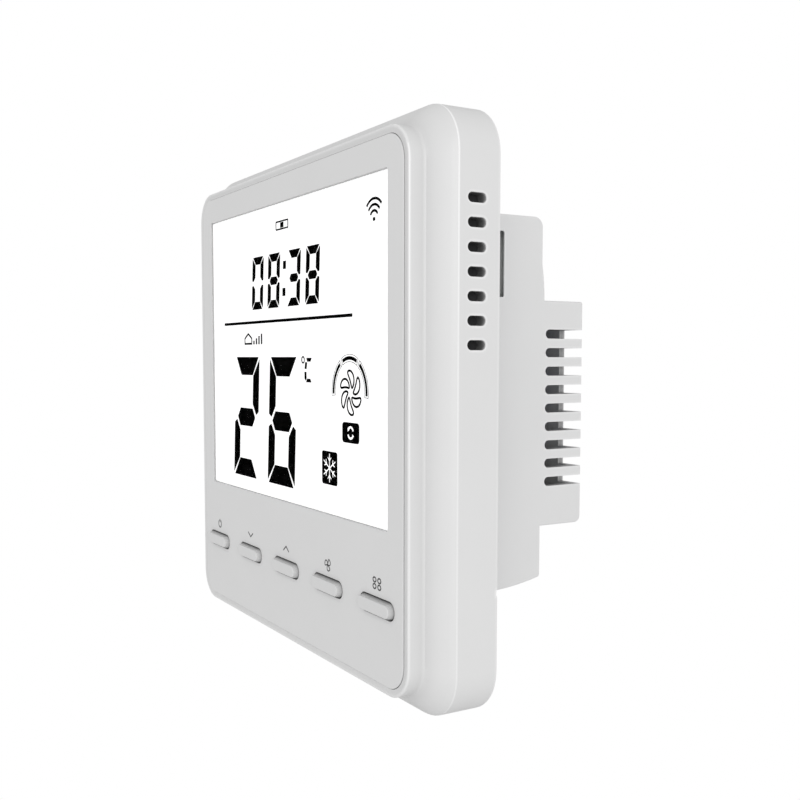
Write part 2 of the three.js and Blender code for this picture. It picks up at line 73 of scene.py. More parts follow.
def rrect(width, height, radius, mid_u=0.0, mid_v=0.0, steps=8):
    """Rounded rectangle as a function of how far it is grown."""
    def ring(grow=0.0):
        corner = max(radius + grow, 0.01)
        reach_u, reach_v = width / 2 + grow - corner, height / 2 + grow - corner
        points = []
        for side_u, side_v, start in ((1, -1, -90), (1, 1, 0), (-1, 1, 90), (-1, -1, 180)):
            u, v = mid_u + side_u * reach_u, mid_v + side_v * reach_v
            points += arc(u, v, corner, start, start + 90, steps)
        return points
    return ring


def between(low_u, low_v, high_u, high_v, radius, steps=3):
    """Rounded rectangle from its corners."""
    return rrect(high_u - low_u, high_v - low_v, radius, (low_u + high_u) / 2, (low_v + high_v) / 2, steps)


def obround(width, height, mid_u, mid_v):
    """Slot with round ends, its long way along u."""
    def ring(grow=0.0):
        radius, reach = height / 2 + grow, (width - height) / 2
        right = arc(mid_u + reach, mid_v, radius, -90, 90, 20)
        return right + arc(mid_u - reach, mid_v, radius, 90, 270, 20)
    return ring


def disc(radius, mid_u=0.0, mid_v=0.0, steps=32):
    return lambda grow=0.0: arc(mid_u, mid_v, radius + grow, 0, 360, steps)[:-1]


def outline(points):
    """Any anticlockwise polygon, grown by moving each corner along its mitre."""
    def ring(grow=0.0):
        grown = []
        count = len(points)
        for k in range(count):
            here = Vector(points[k])
            before = (here - Vector(points[k - 1])).normalized()
            after = (Vector(points[(k + 1) % count]) - here).normalized()
            normal_before = Vector((before.y, -before.x))
            normal_after = Vector((after.y, -after.x))
            mitre = normal_before + normal_after
            length = max(mitre.dot(normal_after), 0.3)
            grown.append(tuple(here + mitre * (grow / length)))
        return grown
    return ring


# ---------------------------------------------------------------- mesh code

def spot(axis, u, v, w):
    """A point of an outline drawn across an axis, at w along it."""
    return {"x": (w, u, v), "y": (u, w, v), "z": (u, v, w)}[axis]


def add_ring(bm, axis, points, w):
    return [bm.verts.new(spot(axis, u, v, w)) for u, v in points]


def skin(bm, rings):
    """Side faces between rings with the same number of points."""
    for ring, following in zip(rings, rings[1:]):
        count = len(ring)
        for k in range(count):
            corner = (k + 1) % count
            bm.faces.new((ring[k], ring[corner], following[corner], following[k]))


def fill(bm, loops):
    """Flat face between an outer loop and the holes in it."""
    edges = []
    for loop in loops:
        for k, vert in enumerate(loop):
            ends = (vert, loop[(k + 1) % len(loop)])
            edges.append(bm.edges.get(ends) or bm.edges.new(ends))
    bmesh.ops.triangle_fill(bm, use_beauty=True, use_dissolve=False, edges=edges)


def quarter(steps):
    """(sine, 1 - cosine) of the angles of a quarter turn."""
    angles = [math.pi / 2 * k / steps for k in range(steps + 1)]
    return [(math.sin(a), 1 - math.cos(a)) for a in angles]


def rounded(low, high, round_low, round_high, steps):
    """(place along the axis, shrink) pairs of a wall with rounded ends."""
    def end(place, radius, inward):
        if radius <= 0:
            return [(place, 0.0)]
        return [(place + inward * radius * (1 - rise), radius * run) for rise, run in quarter(steps)]
    return end(low, round_low, 1)[::-1] + end(high, round_high, -1)


def loft(bm, rings):
    """Closed body through rings with the same number of points."""
    skin(bm, rings)
    fill(bm, [rings[0]])
    fill(bm, [rings[-1]])


def slab(bm, axis, outer, low, high, round_low=0.0, round_high=0.0, holes=(), steps=4, hole_round=None):
    """Closed body of an outline with holes, with rounded edges at its two ends."""
    stations = rounded(low, high, round_low, round_high, steps)
    rings = [add_ring(bm, axis, outer(-shrink), w) for w, shrink in stations]
    skin(bm, rings)
    first, last = [rings[0]], [rings[-1]]
    for hole in holes:
        edge_low = min(round_low, 0.1) if hole_round is None else hole_round
        edge_high = min(round_high, 0.1) if hole_round is None else hole_round
        walls = rounded(low, high, edge_low, edge_high, steps)
        hole_rings = [add_ring(bm, axis, hole(shrink), w) for w, shrink in walls]
        skin(bm, hole_rings)
        first.append(hole_rings[0])
        last.append(hole_rings[-1])
    fill(bm, first)
    fill(bm, last)


def turned(bm, axis, mid_u, mid_v, profile, steps):
    """Body turned round an axis. The profile is (place, radius) pairs from one end to the other."""
    least = 0.005
    loft(bm, [add_ring(bm, axis, disc(max(r, least), mid_u, mid_v, steps)(), w) for w, r in profile])


def block(bm, low, high, corner, edge, axis="y"):
    """Box with rounded corners and edges, drawn across an axis."""
    order = {"y": (0, 2, 1), "x": (1, 2, 0), "z": (0, 1, 2)}[axis]
    low = [low[k] for k in order]
    high = [high[k] for k in order]
    shape = between(low[0], low[1], high[0], high[1], corner)
    slab(bm, axis, shape, low[2], high[2], edge, edge, steps=3)


def ribbon(bm, points, width, low, high, closed=False):
    """Flat printed or etched line of one width along points in x and z."""
    count = len(points)
    sections = []
    for k in range(count):
        here, before, after = Vector(points[k]), None, None
        if closed or k > 0:
            before = (here - Vector(points[k - 1])).normalized()
        if closed or k < count - 1:
            after = (Vector(points[(k + 1) % count]) - here).normalized()
        way = ((before or after) + (after or before)) / 2
        across = Vector((way.y, -way.x)) * (width / 2 / max(way.length_squared, 0.25))
        sides = [tuple(here + across), tuple(here - across)]
        sections.append(add_ring(bm, "y", sides, low) + add_ring(bm, "y", sides[::-1], high))
    if closed:
        sections.append(sections[0])
    else:
        bm.faces.new(sections[0])
        bm.faces.new(sections[-1])
    skin(bm, sections)


def flake(bm, points, low, high):
    """Thin flat polygon, such as one segment of a display."""
    slab(bm, "y", lambda grow: points, low, high)


def place(name, data):
    item = bpy.data.objects.new(name, data)
    bpy.context.scene.collection.objects.link(item)
    return item


def link(name, bm):
    """A piece made from a body drawn in millimetres."""
    bmesh.ops.remove_doubles(bm, verts=bm.verts, dist=1e-5)
    bmesh.ops.recalc_face_normals(bm, faces=bm.faces)
    bmesh.ops.scale(bm, vec=(MM, MM, MM), verts=bm.verts)
    mesh = bpy.data.meshes.new(name)
    bm.to_mesh(mesh)
    bm.free()
    return place(name, mesh)


def settle(piece):
    """Makes the piece's modifiers part of its mesh."""
    bpy.context.view_layer.update()
    depsgraph = bpy.context.evaluated_depsgraph_get()
    mesh = bpy.data.meshes.new_from_object(piece.evaluated_get(depsgraph))
    piece.modifiers.clear()
    old = piece.data
    piece.data = mesh
    bpy.data.meshes.remove(old)


def carve(piece, bm, operation="DIFFERENCE"):
    """Cuts a tool body out of a piece, or joins it on."""
    tool = link("tool", bm)
    modifier = piece.modifiers.new("carve", "BOOLEAN")
    modifier.operation = operation
    modifier.solver = "EXACT"
    modifier.object = tool
    settle(piece)
    bpy.data.objects.remove(tool)


def soften(piece, width):
    """Small round on every sharp edge that the cutting left."""
    modifier = piece.modifiers.new("soften", "BEVEL")
    modifier.width = width * MM
    modifier.segments = 2
    modifier.limit_method = "ANGLE"
    modifier.angle_limit = math.radians(50)
    modifier.miter_outer = "MITER_ARC"
    settle(piece)


def finish_piece(piece, body, material, nodes=()):
    mesh = piece.data
    mesh.shade_smooth()
    mesh.set_sharp_from_angle(angle=SMOOTH_BELOW)
    normals = piece.modifiers.new("normals", "WEIGHTED_NORMAL")
    normals.keep_sharp = True
    mesh.materials.clear()
    mesh.materials.append(material)
    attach(piece, body)
    if nodes:
        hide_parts(*nodes)


class Span:
    """A CAD node's box in millimetres, with its front, back, middle and half its width."""

    def __init__(self, node):
        low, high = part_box(node)
        self.low, self.high = low / MM, high / MM
        self.front, self.back = self.low.y, self.high.y
        self.x, self.y, self.z = (self.low + self.high) / 2
        self.radius = (self.high.x - self.low.x) / 2

    def footprint(self, corner, steps=3, inset=0.0):
        """The box as seen from the room, with rounded corners."""
        low, high = self.low, self.high
        return between(low.x + inset, low.z + inset, high.x - inset, high.z - inset, corner, steps)


def drawn(name, build, *details):
    bm = bmesh.new()
    build(bm, *details)
    return link(name + "_look", bm)


def make(node, build, body, slot, material, *details):
    """The piece that stands for a CAD node, from a function that draws inside the node's box."""
    finish_piece(drawn(node, build, Span(node), *details), body, material, [node])


def add(name, build, body, material):
    """A piece that has no CAD node."""
    finish_piece(drawn(name, build), body, material)


# ---------------------------------------------------------------- materials

class Graph:
    """Short names for building a node material in object space."""

    def __init__(self, name, base, roughness, **sockets):
        self.material = bpy.data.materials.new(name)
        self.material.use_nodes = True
        self.tree = self.material.node_tree
        self.shader = self.tree.nodes["Principled BSDF"]
        self.set(self.shader, Base_Color=(*base, 1), Roughness=roughness, **sockets)
        self.colour = (*base, 1)
        self.place = self.node("ShaderNodeTexCoord").outputs["Object"]

    def set(self, node, **sockets):
        """Gives each named socket a number, a colour or a link. Spaces in names are underscores."""
        for name, value in sockets.items():
            socket = node.inputs[name.replace("_", " ")]
            if isinstance(value, bpy.types.NodeSocket):
                self.tree.links.new(value, socket)
            else:
                socket.default_value = value
        return node

    def node(self, kind, **values):
        made = self.tree.nodes.new(kind)
        for key, value in values.items():
            setattr(made, key, value)
        return made

    def noise(self, size_mm, detail=2.0, place=None):
        made = self.node("ShaderNodeTexNoise")
        self.set(made, Scale=1 / (size_mm * MM), Detail=detail, Vector=place or self.place)
        return made.outputs["Fac"]

    def cells(self, size_mm, output="Distance", metric="EUCLIDEAN"):
        made = self.node("ShaderNodeTexVoronoi", distance=metric)
        self.set(made, Scale=1 / (size_mm * MM), Vector=self.place)
        return made.outputs[output]

    def span(self, value, low, high, from_low=0.3, from_high=0.7):
        made = self.node("ShaderNodeMapRange")
        self.set(made, From_Min=from_low, From_Max=from_high, To_Min=low, To_Max=high, Value=value)
        return made.outputs["Result"]

    def math(self, operation, first, second):
        made = self.node("ShaderNodeMath", operation=operation)
        for socket, value in zip(made.inputs, (first, second)):
            if isinstance(value, (int, float)):
                socket.default_value = value
            else:
                self.tree.links.new(value, socket)
        return made.outputs[0]

    def split(self, kind, source, socket, output):
        """One part of a vector or colour."""
        return self.set(self.node(kind), **{socket: source}).outputs[output]

    def stretch(self, scale):
        return self.set(self.node("ShaderNodeMapping"), Scale=scale, Vector=self.place).outputs["Vector"]

    def tint(self, mask, other):
        """Blends the colour so far with another by a mask."""
        made = self.node("ShaderNodeMix", data_type="RGBA")
        self.set(made, A=self.colour, B=(*other, 1), Factor=mask)
        self.colour = made.outputs["Result"]
        self.set(self.shader, Base_Color=self.colour)

    def shut(self, reach_mm, power, inside=False):
        """How shut in a point is within a reach, for the painted shade in gaps and corners.

        Seen from inside the solid instead, it tells how close the point is to an outside edge, for painted
        edge highlights."""
        made = self.node("ShaderNodeAmbientOcclusion", samples=8, inside=inside)
        self.set(made, Distance=reach_mm * MM)
        return self.math("MULTIPLY", self.math("SUBTRACT", 1.0, made.outputs["AO"]), power)

    def rough(self, mask, low, high):
        self.set(self.shader, Roughness=self.span(mask, low, high))

    def bump(self, height, depth_mm, strength):
        made = self.node("ShaderNodeBump")
        self.set(made, Strength=strength, Distance=depth_mm * MM, Height=height)
        self.set(self.shader, Normal=made.outputs["Normal"])


def shade(colour, factor):
    return tuple(c * factor for c in colour)


def moulded(name, base, roughness, grain_mm=0.22, depth_mm=0.004, vary=0.985,
            painted_shade_mm=0.0, painted_shade_power=1.0, painted_edge_highlight=0.0, painted_slot_shade_mm=0.0):
    """Spark-textured moulded plastic: fine grain, slow tone drift, gloss that varies a little; optional
    painted shade in creases and slots and painted highlights on edges.
    """
    graph = Graph(name, base, roughness)
    grain = graph.noise(grain_mm, 3.0)
    pits = graph.cells(grain_mm * 1.7)
    graph.tint(graph.span(graph.noise(14.0), 0.0, 1.0), shade(base, vary))
    # painted shade: darker where the surface is shut in, as in creases and corners
    if painted_shade_mm > 0:
        graph.tint(graph.shut(painted_shade_mm, painted_shade_power), shade(base, 0.25))
    # painted highlight: lighter near convex outside edges
    if painted_edge_highlight > 0:
        graph.tint(graph.shut(0.45, painted_edge_highlight, inside=True), shade(base, 1.16))
    # painted shade: near black deep in slots and vents, and a wide soft darkening near steps
    if painted_slot_shade_mm > 0:
        deep = graph.math("POWER", graph.shut(painted_slot_shade_mm, 1.0), 3.0)
        graph.tint(graph.math("MULTIPLY", deep, 4.0), shade(base, 0.12))
        graph.tint(graph.shut(painted_slot_shade_mm * 6, 0.22), shade(base, 0.5))
    graph.rough(grain, roughness - 0.05, roughness + 0.05)
    graph.bump(graph.math("ADD", grain, graph.math("MULTIPLY", pits, 0.4)), depth_mm, 0.6)
    return graph.material


def metal(name, base, roughness, spangle_mm=1.6, brush=(1, 1, 12)):
    """Plated steel: faint crystal spangle and fine rolling marks."""
    graph = Graph(name, base, roughness, Metallic=1.0)
    spangle = graph.split("ShaderNodeSeparateColor", graph.cells(spangle_mm, "Color"), "Color", "Red")
    marks = graph.noise(0.5, 3.0, graph.stretch(brush))
    graph.tint(graph.span(spangle, 0.0, 1.0, 0.0, 1.0), shade(base, 0.86))
    graph.rough(marks, roughness - 0.08, roughness + 0.1)
    graph.bump(marks, 0.003, 0.5)
    return graph.material


def circuit(name, base, trace, size_mm):
    """Solder mask over copper: routed traces show as lighter lines, with round vias."""
    graph = Graph(name, base, 0.38)
    runs = graph.math("MULTIPLY", graph.cells(size_mm, metric="CHEBYCHEV"), 26.0)
    lines = graph.math("GREATER_THAN", graph.math("SINE", runs, 0.0), 0.35)
    vias = graph.math("LESS_THAN", graph.cells(size_mm * 0.8), 0.11)
    graph.tint(lines, trace)
    graph.tint(vias, (0.55, 0.42, 0.18))
    graph.rough(graph.noise(2.0), 0.3, 0.45)
    graph.bump(lines, 0.02, 0.4)
    return graph.material


def ink(name, base, roughness=0.5, **sockets):
    graph = Graph(name, base, roughness, **sockets)
    speckle = graph.noise(0.06)
    graph.tint(graph.span(speckle, 0.0, 1.0), shade(base, 0.7))
    graph.rough(speckle, roughness - 0.06, roughness + 0.06)
    return graph.material


def backlit(name, base, glow):
    """White display glass lit from behind, with a fine dot mesh and a slow drift of the light."""
    graph = Graph(name, base, 0.5, Emission_Color=(1, 1, 1, 1))
    dots = graph.cells(0.25)
    pool = graph.span(graph.noise(30.0, 1.0), glow, glow * 1.05)
    graph.tint(graph.span(dots, 0.0, 0.25, 0.2, 0.7), shade(base, 0.96))
    strength = graph.math("ADD", pool, graph.math("MULTIPLY", dots, -0.02))
    graph.set(graph.shader, Emission_Strength=strength)
    graph.rough(dots, 0.45, 0.55)
    return graph.material


def clear(name):
    """Clear hard-coated window with an anti-glare face, so it hardly mirrors the room."""
    graph = Graph(name, (1, 1, 1), 0.04, Transmission_Weight=1.0, IOR=1.005)
    haze = graph.noise(0.3)
    graph.rough(haze, 0.02, 0.06)
    graph.bump(haze, 0.0005, 0.2)
    return graph.material


def edge_highlight_paint(name, top, bottom):
    """Painted highlight along an edge, brightest in the upper half, where the light falls from above."""
    graph = Graph(name, bottom, 0.3)
    height = graph.split("ShaderNodeSeparateXYZ", graph.place, "Vector", "Z")
    upper = graph.span(height, 0.0, 1.0, -20 * MM, 38 * MM)
    graph.tint(graph.math("POWER", upper, 1.5), top)
    grain = graph.noise(0.3, 3.0)
    graph.rough(grain, 0.25, 0.35)
    graph.bump(grain, 0.003, 0.5)
    return graph.material


WHITE = (0.80, 0.80, 0.80)
GREY = (0.83, 0.83, 0.83)
# Shell plastic: painted shade in creases and slots, painted highlights on convex edges.
SHELL_PAINTED_SHADE = {"painted_shade_mm": 4.0, "painted_shade_power": 0.6, "painted_slot_shade_mm": 2.2}
housing_look = moulded("housing_plastic", WHITE, 0.42, painted_edge_highlight=3.0, **SHELL_PAINTED_SHADE)
rear_look = moulded("rear_plastic", WHITE, 0.42, painted_edge_highlight=1.0, **SHELL_PAINTED_SHADE)
# painted shade: a darker band on the rounded side edges of the rear housing
rear_edge_shade_look = moulded("rear_edge_painted_shade", shade(WHITE, 0.9), 0.42)
# painted highlight along the housing's front and flange edges, brighter at the top
edge_highlight_look = edge_highlight_paint("housing_edge_painted_highlight", (0.98, 0.98, 0.98), (0.88, 0.88, 0.88))
# painted shade in the panel's gaps and on the key sides
panel_look = moulded("panel_plastic", GREY, 0.48, 0.18, painted_shade_mm=1.2, painted_shade_power=0.6)
key_look = moulded("key_plastic", shade(GREY, 0.96), 0.4, 0.15, 0.003, painted_shade_mm=3.0, painted_shade_power=0.95)
icon_look = ink("printed_icons", (0.055, 0.055, 0.055))
segment_look = ink("lcd_segments", (0.004, 0.004, 0.004), 0.6, Specular_IOR_Level=0.0, IOR=1.0)
lcd_look = backlit("lcd_lit_glass", (0.9, 0.9, 0.9), 0.5)
lens_look = clear("display_window")
# dark strip colour, standing in for the shade inside the side vents
vent_shade_look = moulded("vent_painted_shade", (0.045, 0.045, 0.047), 0.9, 0.35, 0.05, 0.7)
diffuser_look = moulded("diffuser_plastic", (0.88, 0.88, 0.87), 0.5, 0.6)
rubber_look = moulded("zebra_rubber", (0.11, 0.13, 0.16), 0.75, 0.12, 0.01)
board_look = circuit("control_board_mask", (0.02, 0.13, 0.06), (0.04, 0.22, 0.10), 2.6)
power_look = circuit("power_board_mask", (0.03, 0.15, 0.07), (0.06, 0.26, 0.12), 4.5)
plate_look = metal("galvanised_steel", (0.62, 0.64, 0.66), 0.36)
screw_look = metal("zinc_screw", (0.56, 0.57, 0.58), 0.3, 0.6, (6, 1, 6))
can_look = metal("plated_can", (0.70, 0.70, 0.71), 0.25, 0.8)
terminal_look = moulded("terminal_plastic", (0.78, 0.80, 0.79), 0.55, 0.3)
relay_look = moulded("relay_plastic", (0.02, 0.08, 0.24), 0.4, 0.3)
amber_look = moulded("amber_tape", (0.55, 0.38, 0.05), 0.35, 0.9, 0.01, 0.8)
dark_look = moulded("dark_plastic", (0.022, 0.023, 0.026), 0.45, 0.25)
varistor_look = moulded("varistor_lacquer", (0.03, 0.14, 0.42), 0.3, 0.8, 0.02, 0.85)


# ---------------------------------------------------------------- front housing

housing = Span("front_housing")
FLANGE = housing.high.x - housing.low.x
FLANGE_CORNER = 7.3
BLOCK_W, BLOCK_H, BLOCK_CORNER = 79.4, 79.8, 5.3
STEP_REACH = (FLANGE - BLOCK_W) / 2
FACE_Y = housing.low.y
EDGE, BORDER_DISH, SIDE_BORDER = 0.3, 0.2, 1.4
PANEL_BORDER, PANEL_FIT, PANEL_ROLL, PANEL_CORNER = 1.15, 0.04, 0.12, 4.1
SHELF_FRONT, SHELF_BACK, STEP_Y = -11.4, -10.0, -6.2
FOOT_Y, FOOT_ROUND, FOOT_TURN = -10.05, 0.9, 36
SHOULDER_BULGE, SHOULDER_BACK = 0.16, -7.12
HIGHLIGHT_BAND_FRONT, HIGHLIGHT_BAND_BACK = -7.0, -6.78
VIEW_W, VIEW_H, VIEW_Z, VIEW_CORNER = 68.2, 50.6, 8.95, 0.4
LCD_W, LCD_H, LCD_Z = 71.0, 53.6, 8.6
KEY_NAMES = ("power", "down", "up", "fan", "menu")
KEY_PITCH, KEY_Z, KEY_W, KEY_H, KEY_GAP, KEY_SHRINK = 15.5, -27.6, 9.7, 2.5, 0.15, 0.1
KEY_PLACES = [(k - 2) * KEY_PITCH for k in range(5)]
BOARD_SCREWS = ((-38.9, 30), (38.9, 30), (-30, -34.5), (30, -34.5))
VENT_COUNT, VENT_PITCH, VENT_Y, VENT_Z = 7, 3.3, -3.9, 19.73
VENT_W, VENT_H, VENT_LIP = 3.0, 1.33, 0.14


def housing_ring(step, grow):
    """The outside outline on its way from the raised block (0) to the wall flange (1)."""
    width = BLOCK_W + (FLANGE - BLOCK_W) * step
    height = BLOCK_H + (FLANGE - BLOCK_H) * step
    corner = BLOCK_CORNER + (FLANGE_CORNER - BLOCK_CORNER) * step
    return rrect(width, height, corner, steps=12)(grow)


def housing_profile():
    """(y, step, grow) stations of the outside, from the front face back to the rim."""
    stations = [(FACE_Y + EDGE * (1 - rise), 0.0, -EDGE * run) for rise, run in reversed(quarter(5))]
    foot_start = FOOT_Y - FOOT_ROUND * math.sin(math.radians(FOOT_TURN))
    for k in range(7):
        angle = math.radians(FOOT_TURN * k / 6)
        spread = FOOT_ROUND * (1 - math.cos(angle)) / STEP_REACH
        stations.append((foot_start + FOOT_ROUND * math.sin(angle), spread, 0.0))
    start_y, start_step = stations[-1][0] + 0.03, stations[-1][1] + 0.02
    for k in range(1, 9):
        part = k / 9
        bulge = SHOULDER_BULGE * math.sin(math.pi * part)
        step = start_step + (1 - start_step) * part
        stations.append((start_y + (SHOULDER_BACK - start_y) * part - bulge, step, bulge * 0.6))
    stations += [(HIGHLIGHT_BAND_FRONT, 0.985, 0.0), (HIGHLIGHT_BAND_BACK, 0.999, 0.0), (-6.7, 1.0, 0.0)]
    return stations + [(-0.25, 1.0, 0.0), (-0.07, 1.0, -0.07), (0.0, 1.0, -0.25)]


def build_front_housing(bm):
    recess = rrect(BLOCK_W - 2 * SIDE_BORDER, BLOCK_H - 2 * PANEL_BORDER, PANEL_CORNER, steps=12)
    lower_size = FLANGE - 4
    lower = rrect(lower_size, lower_size, FLANGE_CORNER - 2, steps=12)
    upper = rrect(BLOCK_W - 3.6, BLOCK_H - 3.6, BLOCK_CORNER - 1.8, steps=12)
    rings = [
        add_ring(bm, "y", recess(), SHELF_FRONT),
        add_ring(bm, "y", recess(), FACE_Y + BORDER_DISH + 0.05),
        add_ring(bm, "y", recess(0.05), FACE_Y + BORDER_DISH),
    ]
    rings += [add_ring(bm, "y", housing_ring(step, grow), y) for y, step, grow in housing_profile()]
    rings += [
        add_ring(bm, "y", lower(0.15), 0.0),
        add_ring(bm, "y", lower(), -0.15),
        add_ring(bm, "y", lower(), STEP_Y),
        add_ring(bm, "y", upper(0.1), STEP_Y),
        add_ring(bm, "y", upper(), STEP_Y - 0.1),
        add_ring(bm, "y", upper(), SHELF_BACK),
    ]
    skin(bm, rings)
    front, back = [rings[0]], [rings[-1]]
    openings = [rrect(LCD_W + 0.6, LCD_H + 0.6, 1.0, 0, LCD_Z)]
    openings += [obround(KEY_W + 0.5, KEY_H + 0.5, x, KEY_Z) for x in KEY_PLACES]
    for opening in openings:
        walls = [add_ring(bm, "y", opening(), y) for y in (SHELF_FRONT, SHELF_BACK)]
        skin(bm, walls)
        front.append(walls[0])
        back.append(walls[1])
    fill(bm, front)
    fill(bm, back)


def paint_edge_highlights(piece):
    """Both outside edges of the moulding get a painted highlight: their bands of faces take the highlight
    material.
    """
    piece.data.materials.append(edge_highlight_look)
    for face in piece.data.polygons:
        depth = face.center.y / MM
        aside = max(abs(face.center.x), abs(face.center.z)) / MM
        front_edge = FACE_Y + 0.06 < depth < FACE_Y + 0.2 and aside > BLOCK_W / 2 - 0.4
        flange_edge = HIGHLIGHT_BAND_FRONT < depth < HIGHLIGHT_BAND_BACK and aside > FLANGE / 2 - STEP_REACH
        if flange_edge or front_edge and face.normal.y < -0.1:
            face.material_index = 1


def vent_tool(bm, z):
    """Slot that flares where it meets the outside, for a rounded lip."""
    shape = obround(VENT_W, VENT_H, VENT_Y, z)
    outside = FLANGE / 2
    stations = [(outside - 4, 0.0)]
    stations += [(outside - VENT_LIP * (1 - rise), VENT_LIP * run) for rise, run in quarter(4)]
    stations.append((outside + 1, VENT_LIP))
    loft(bm, [add_ring(bm, "x", shape(grow), x) for x, grow in stations])


def front_housing():
    piece = drawn("front_housing", build_front_housing)
    tools = bmesh.new()
    for k in range(VENT_COUNT):
        vent_tool(tools, VENT_Z + (k - (VENT_COUNT - 1) / 2) * VENT_PITCH)
    block(tools, (FLANGE / 2 - 1, -0.25, -25.3), (FLANGE / 2 + 1, 1, -24.2), 0.1, 0.05)
    carve(piece, tools)
    posts = bmesh.new()
    for x, z in BOARD_SCREWS:
        inner = abs(x) < 35
        reach = 2.0 if inner else 1.6
        shape = disc(reach, x if inner else math.copysign(37.9, x), z)
        slab(posts, "y", shape, SHELF_BACK - 0.4, STEP_Y)
    carve(piece, posts, "UNION")
    finish_piece(piece, FRONT, housing_look, ["front_housing"])
    paint_edge_highlights(piece)


front_housing()


# ---------------------------------------------------------------- front panel, window and keys

def build_front_panel(bm, box):
    width = BLOCK_W - 2 * (SIDE_BORDER + PANEL_FIT)
    height = BLOCK_H - 2 * (PANEL_BORDER + PANEL_FIT)
    outer = rrect(width, height, PANEL_CORNER - PANEL_FIT, steps=12)
    holes = [rrect(VIEW_W, VIEW_H, VIEW_CORNER, 0, VIEW_Z)]
    holes += [obround(KEY_W + 2 * KEY_GAP, KEY_H + 2 * KEY_GAP, x, KEY_Z) for x in KEY_PLACES]
    slab(bm, "y", outer, box.front, box.back, PANEL_ROLL, 0.05, holes, hole_round=0.06)


WINDOW_GLASS = rrect(VIEW_W - 0.2, VIEW_H - 0.2, VIEW_CORNER, 0, VIEW_Z)


def build_lens(bm, box):
    slab(bm, "y", WINDOW_GLASS, box.front, box.back, 0.03, 0.03, steps=2)


def build_key(bm, box):
    """Drafted cap with a collar that stays behind the panel."""
    fillet, draft, foot, back = 0.12, 0.2, -9.8, box.back
    cap = obround(KEY_W - 2 * KEY_SHRINK, KEY_H - 2 * KEY_SHRINK, box.x, KEY_Z)
    stations = [(box.front + fillet * run, draft + fillet * (1 - rise)) for rise, run in quarter(5)]
    stations += [(FACE_Y + 0.1, 0.0), (foot, 0.0)]
    rings = [add_ring(bm, "y", cap(-shrink), y) for y, shrink in stations]
    skin(bm, rings)
    fill(bm, [rings[0]])
    collar = rrect(11.8, 4.6, 1.0, box.x, KEY_Z, steps=10)
    places = ((foot, -0.1), (foot + 0.1, 0), (back - 0.1, 0), (back, -0.1))
    outer = [add_ring(bm, "y", collar(grow), y) for y, grow in places]
    skin(bm, outer)
    fill(bm, [rings[-1], outer[0]])
    fill(bm, [outer[-1]])


make("front_panel", build_front_panel, FRONT, "grey_panel", panel_look)
make("display_lens", build_lens, FRONT, "display_lens", lens_look)
for key in KEY_NAMES:
    make(key + "_key", build_key, key + "_button", "grey_key", key_look)


# ---------------------------------------------------------------- printed icons over the keys

ICON_Z = -24.35
PRINT = 0.02
LINE = 0.21


def printer(bm, low, high):
    """Tools that draw a line and a patch of one printed layer."""
    return partial(ribbon, bm, low=low, high=high), partial(flake, bm, low=low, high=high)


def petal_loop(mid_x, mid_z, angle, start, length, width, twist):
    """Closed leaf outline that leaves a centre at an angle and may curl."""
    points = []
    for k in range(28):
        part = k / 28
        t = 0.5 - 0.5 * math.cos(2 * math.pi * part)
        side = math.sin(2 * math.pi * part) * width / 2 * (0.35 + 0.65 * t) * 1.25
        reach = start + length * t
        turn = angle + twist * t
        x = reach * math.cos(turn) - side * math.sin(turn)
        z = reach * math.sin(turn) + side * math.cos(turn)
        points.append((mid_x + x, mid_z + z))
    return points


def build_icons(bm):
    line, _ = printer(bm, FACE_Y - PRINT, FACE_Y)
    x = KEY_PLACES[0] + 0.05
    line(arc(x, ICON_Z - 0.1, 0.72, 120, 420, 28), LINE)
    line([(x, ICON_Z + 0.1), (x, ICON_Z + 0.8)], LINE)
    for x, arm, tip in ((KEY_PLACES[1], 0.4, -0.35), (KEY_PLACES[2], -0.4, 0.4)):
        chevron = [(x - 1.1, ICON_Z + arm), (x, ICON_Z + tip), (x + 1.1, ICON_Z + arm)]
        line(chevron, LINE)
    x = KEY_PLACES[3] + 0.1
    for degrees in (145, 25, -85):
        blade = petal_loop(x, ICON_Z + 0.05, math.radians(degrees), 0.05, 0.95, 0.95, 0.4)
        line(blade, LINE * 0.85, closed=True)
    x = KEY_PLACES[4] + 0.1
    for side_x, side_z in CORNERS:
        mid_x, mid_z = x + side_x * 0.69, ICON_Z + 0.08 + side_z * 0.48
        loop = [(mid_x + 0.44 * u, mid_z + 0.35 * v) for u, v in disc(1.0, steps=20)()]
        line(loop, LINE, closed=True)


add("key_icons", build_icons, FRONT, icon_look)


# ---------------------------------------------------------------- LCD with its segments

SEG_Y = Span("lcd_panel").low.y
INK = 0.03


def build_lcd(bm, box):
    """Rear glass with the smaller front glass standing up into the window."""
    joint = -11.2
    slab(bm, "y", WINDOW_GLASS, SEG_Y + INK, joint)
    slab(bm, "y", rrect(LCD_W, LCD_H, 0.5, 0, LCD_Z), joint, box.back, 0.05, 0.05)


make("lcd_panel", build_lcd, FRONT, "lcd_glass", lcd_look)

SEGMENTS = {"0": "abcdef", "2": "abged", "3": "abgcd", "6": "acdefg", "8": "abcdefg"}
SLANT = 0.065


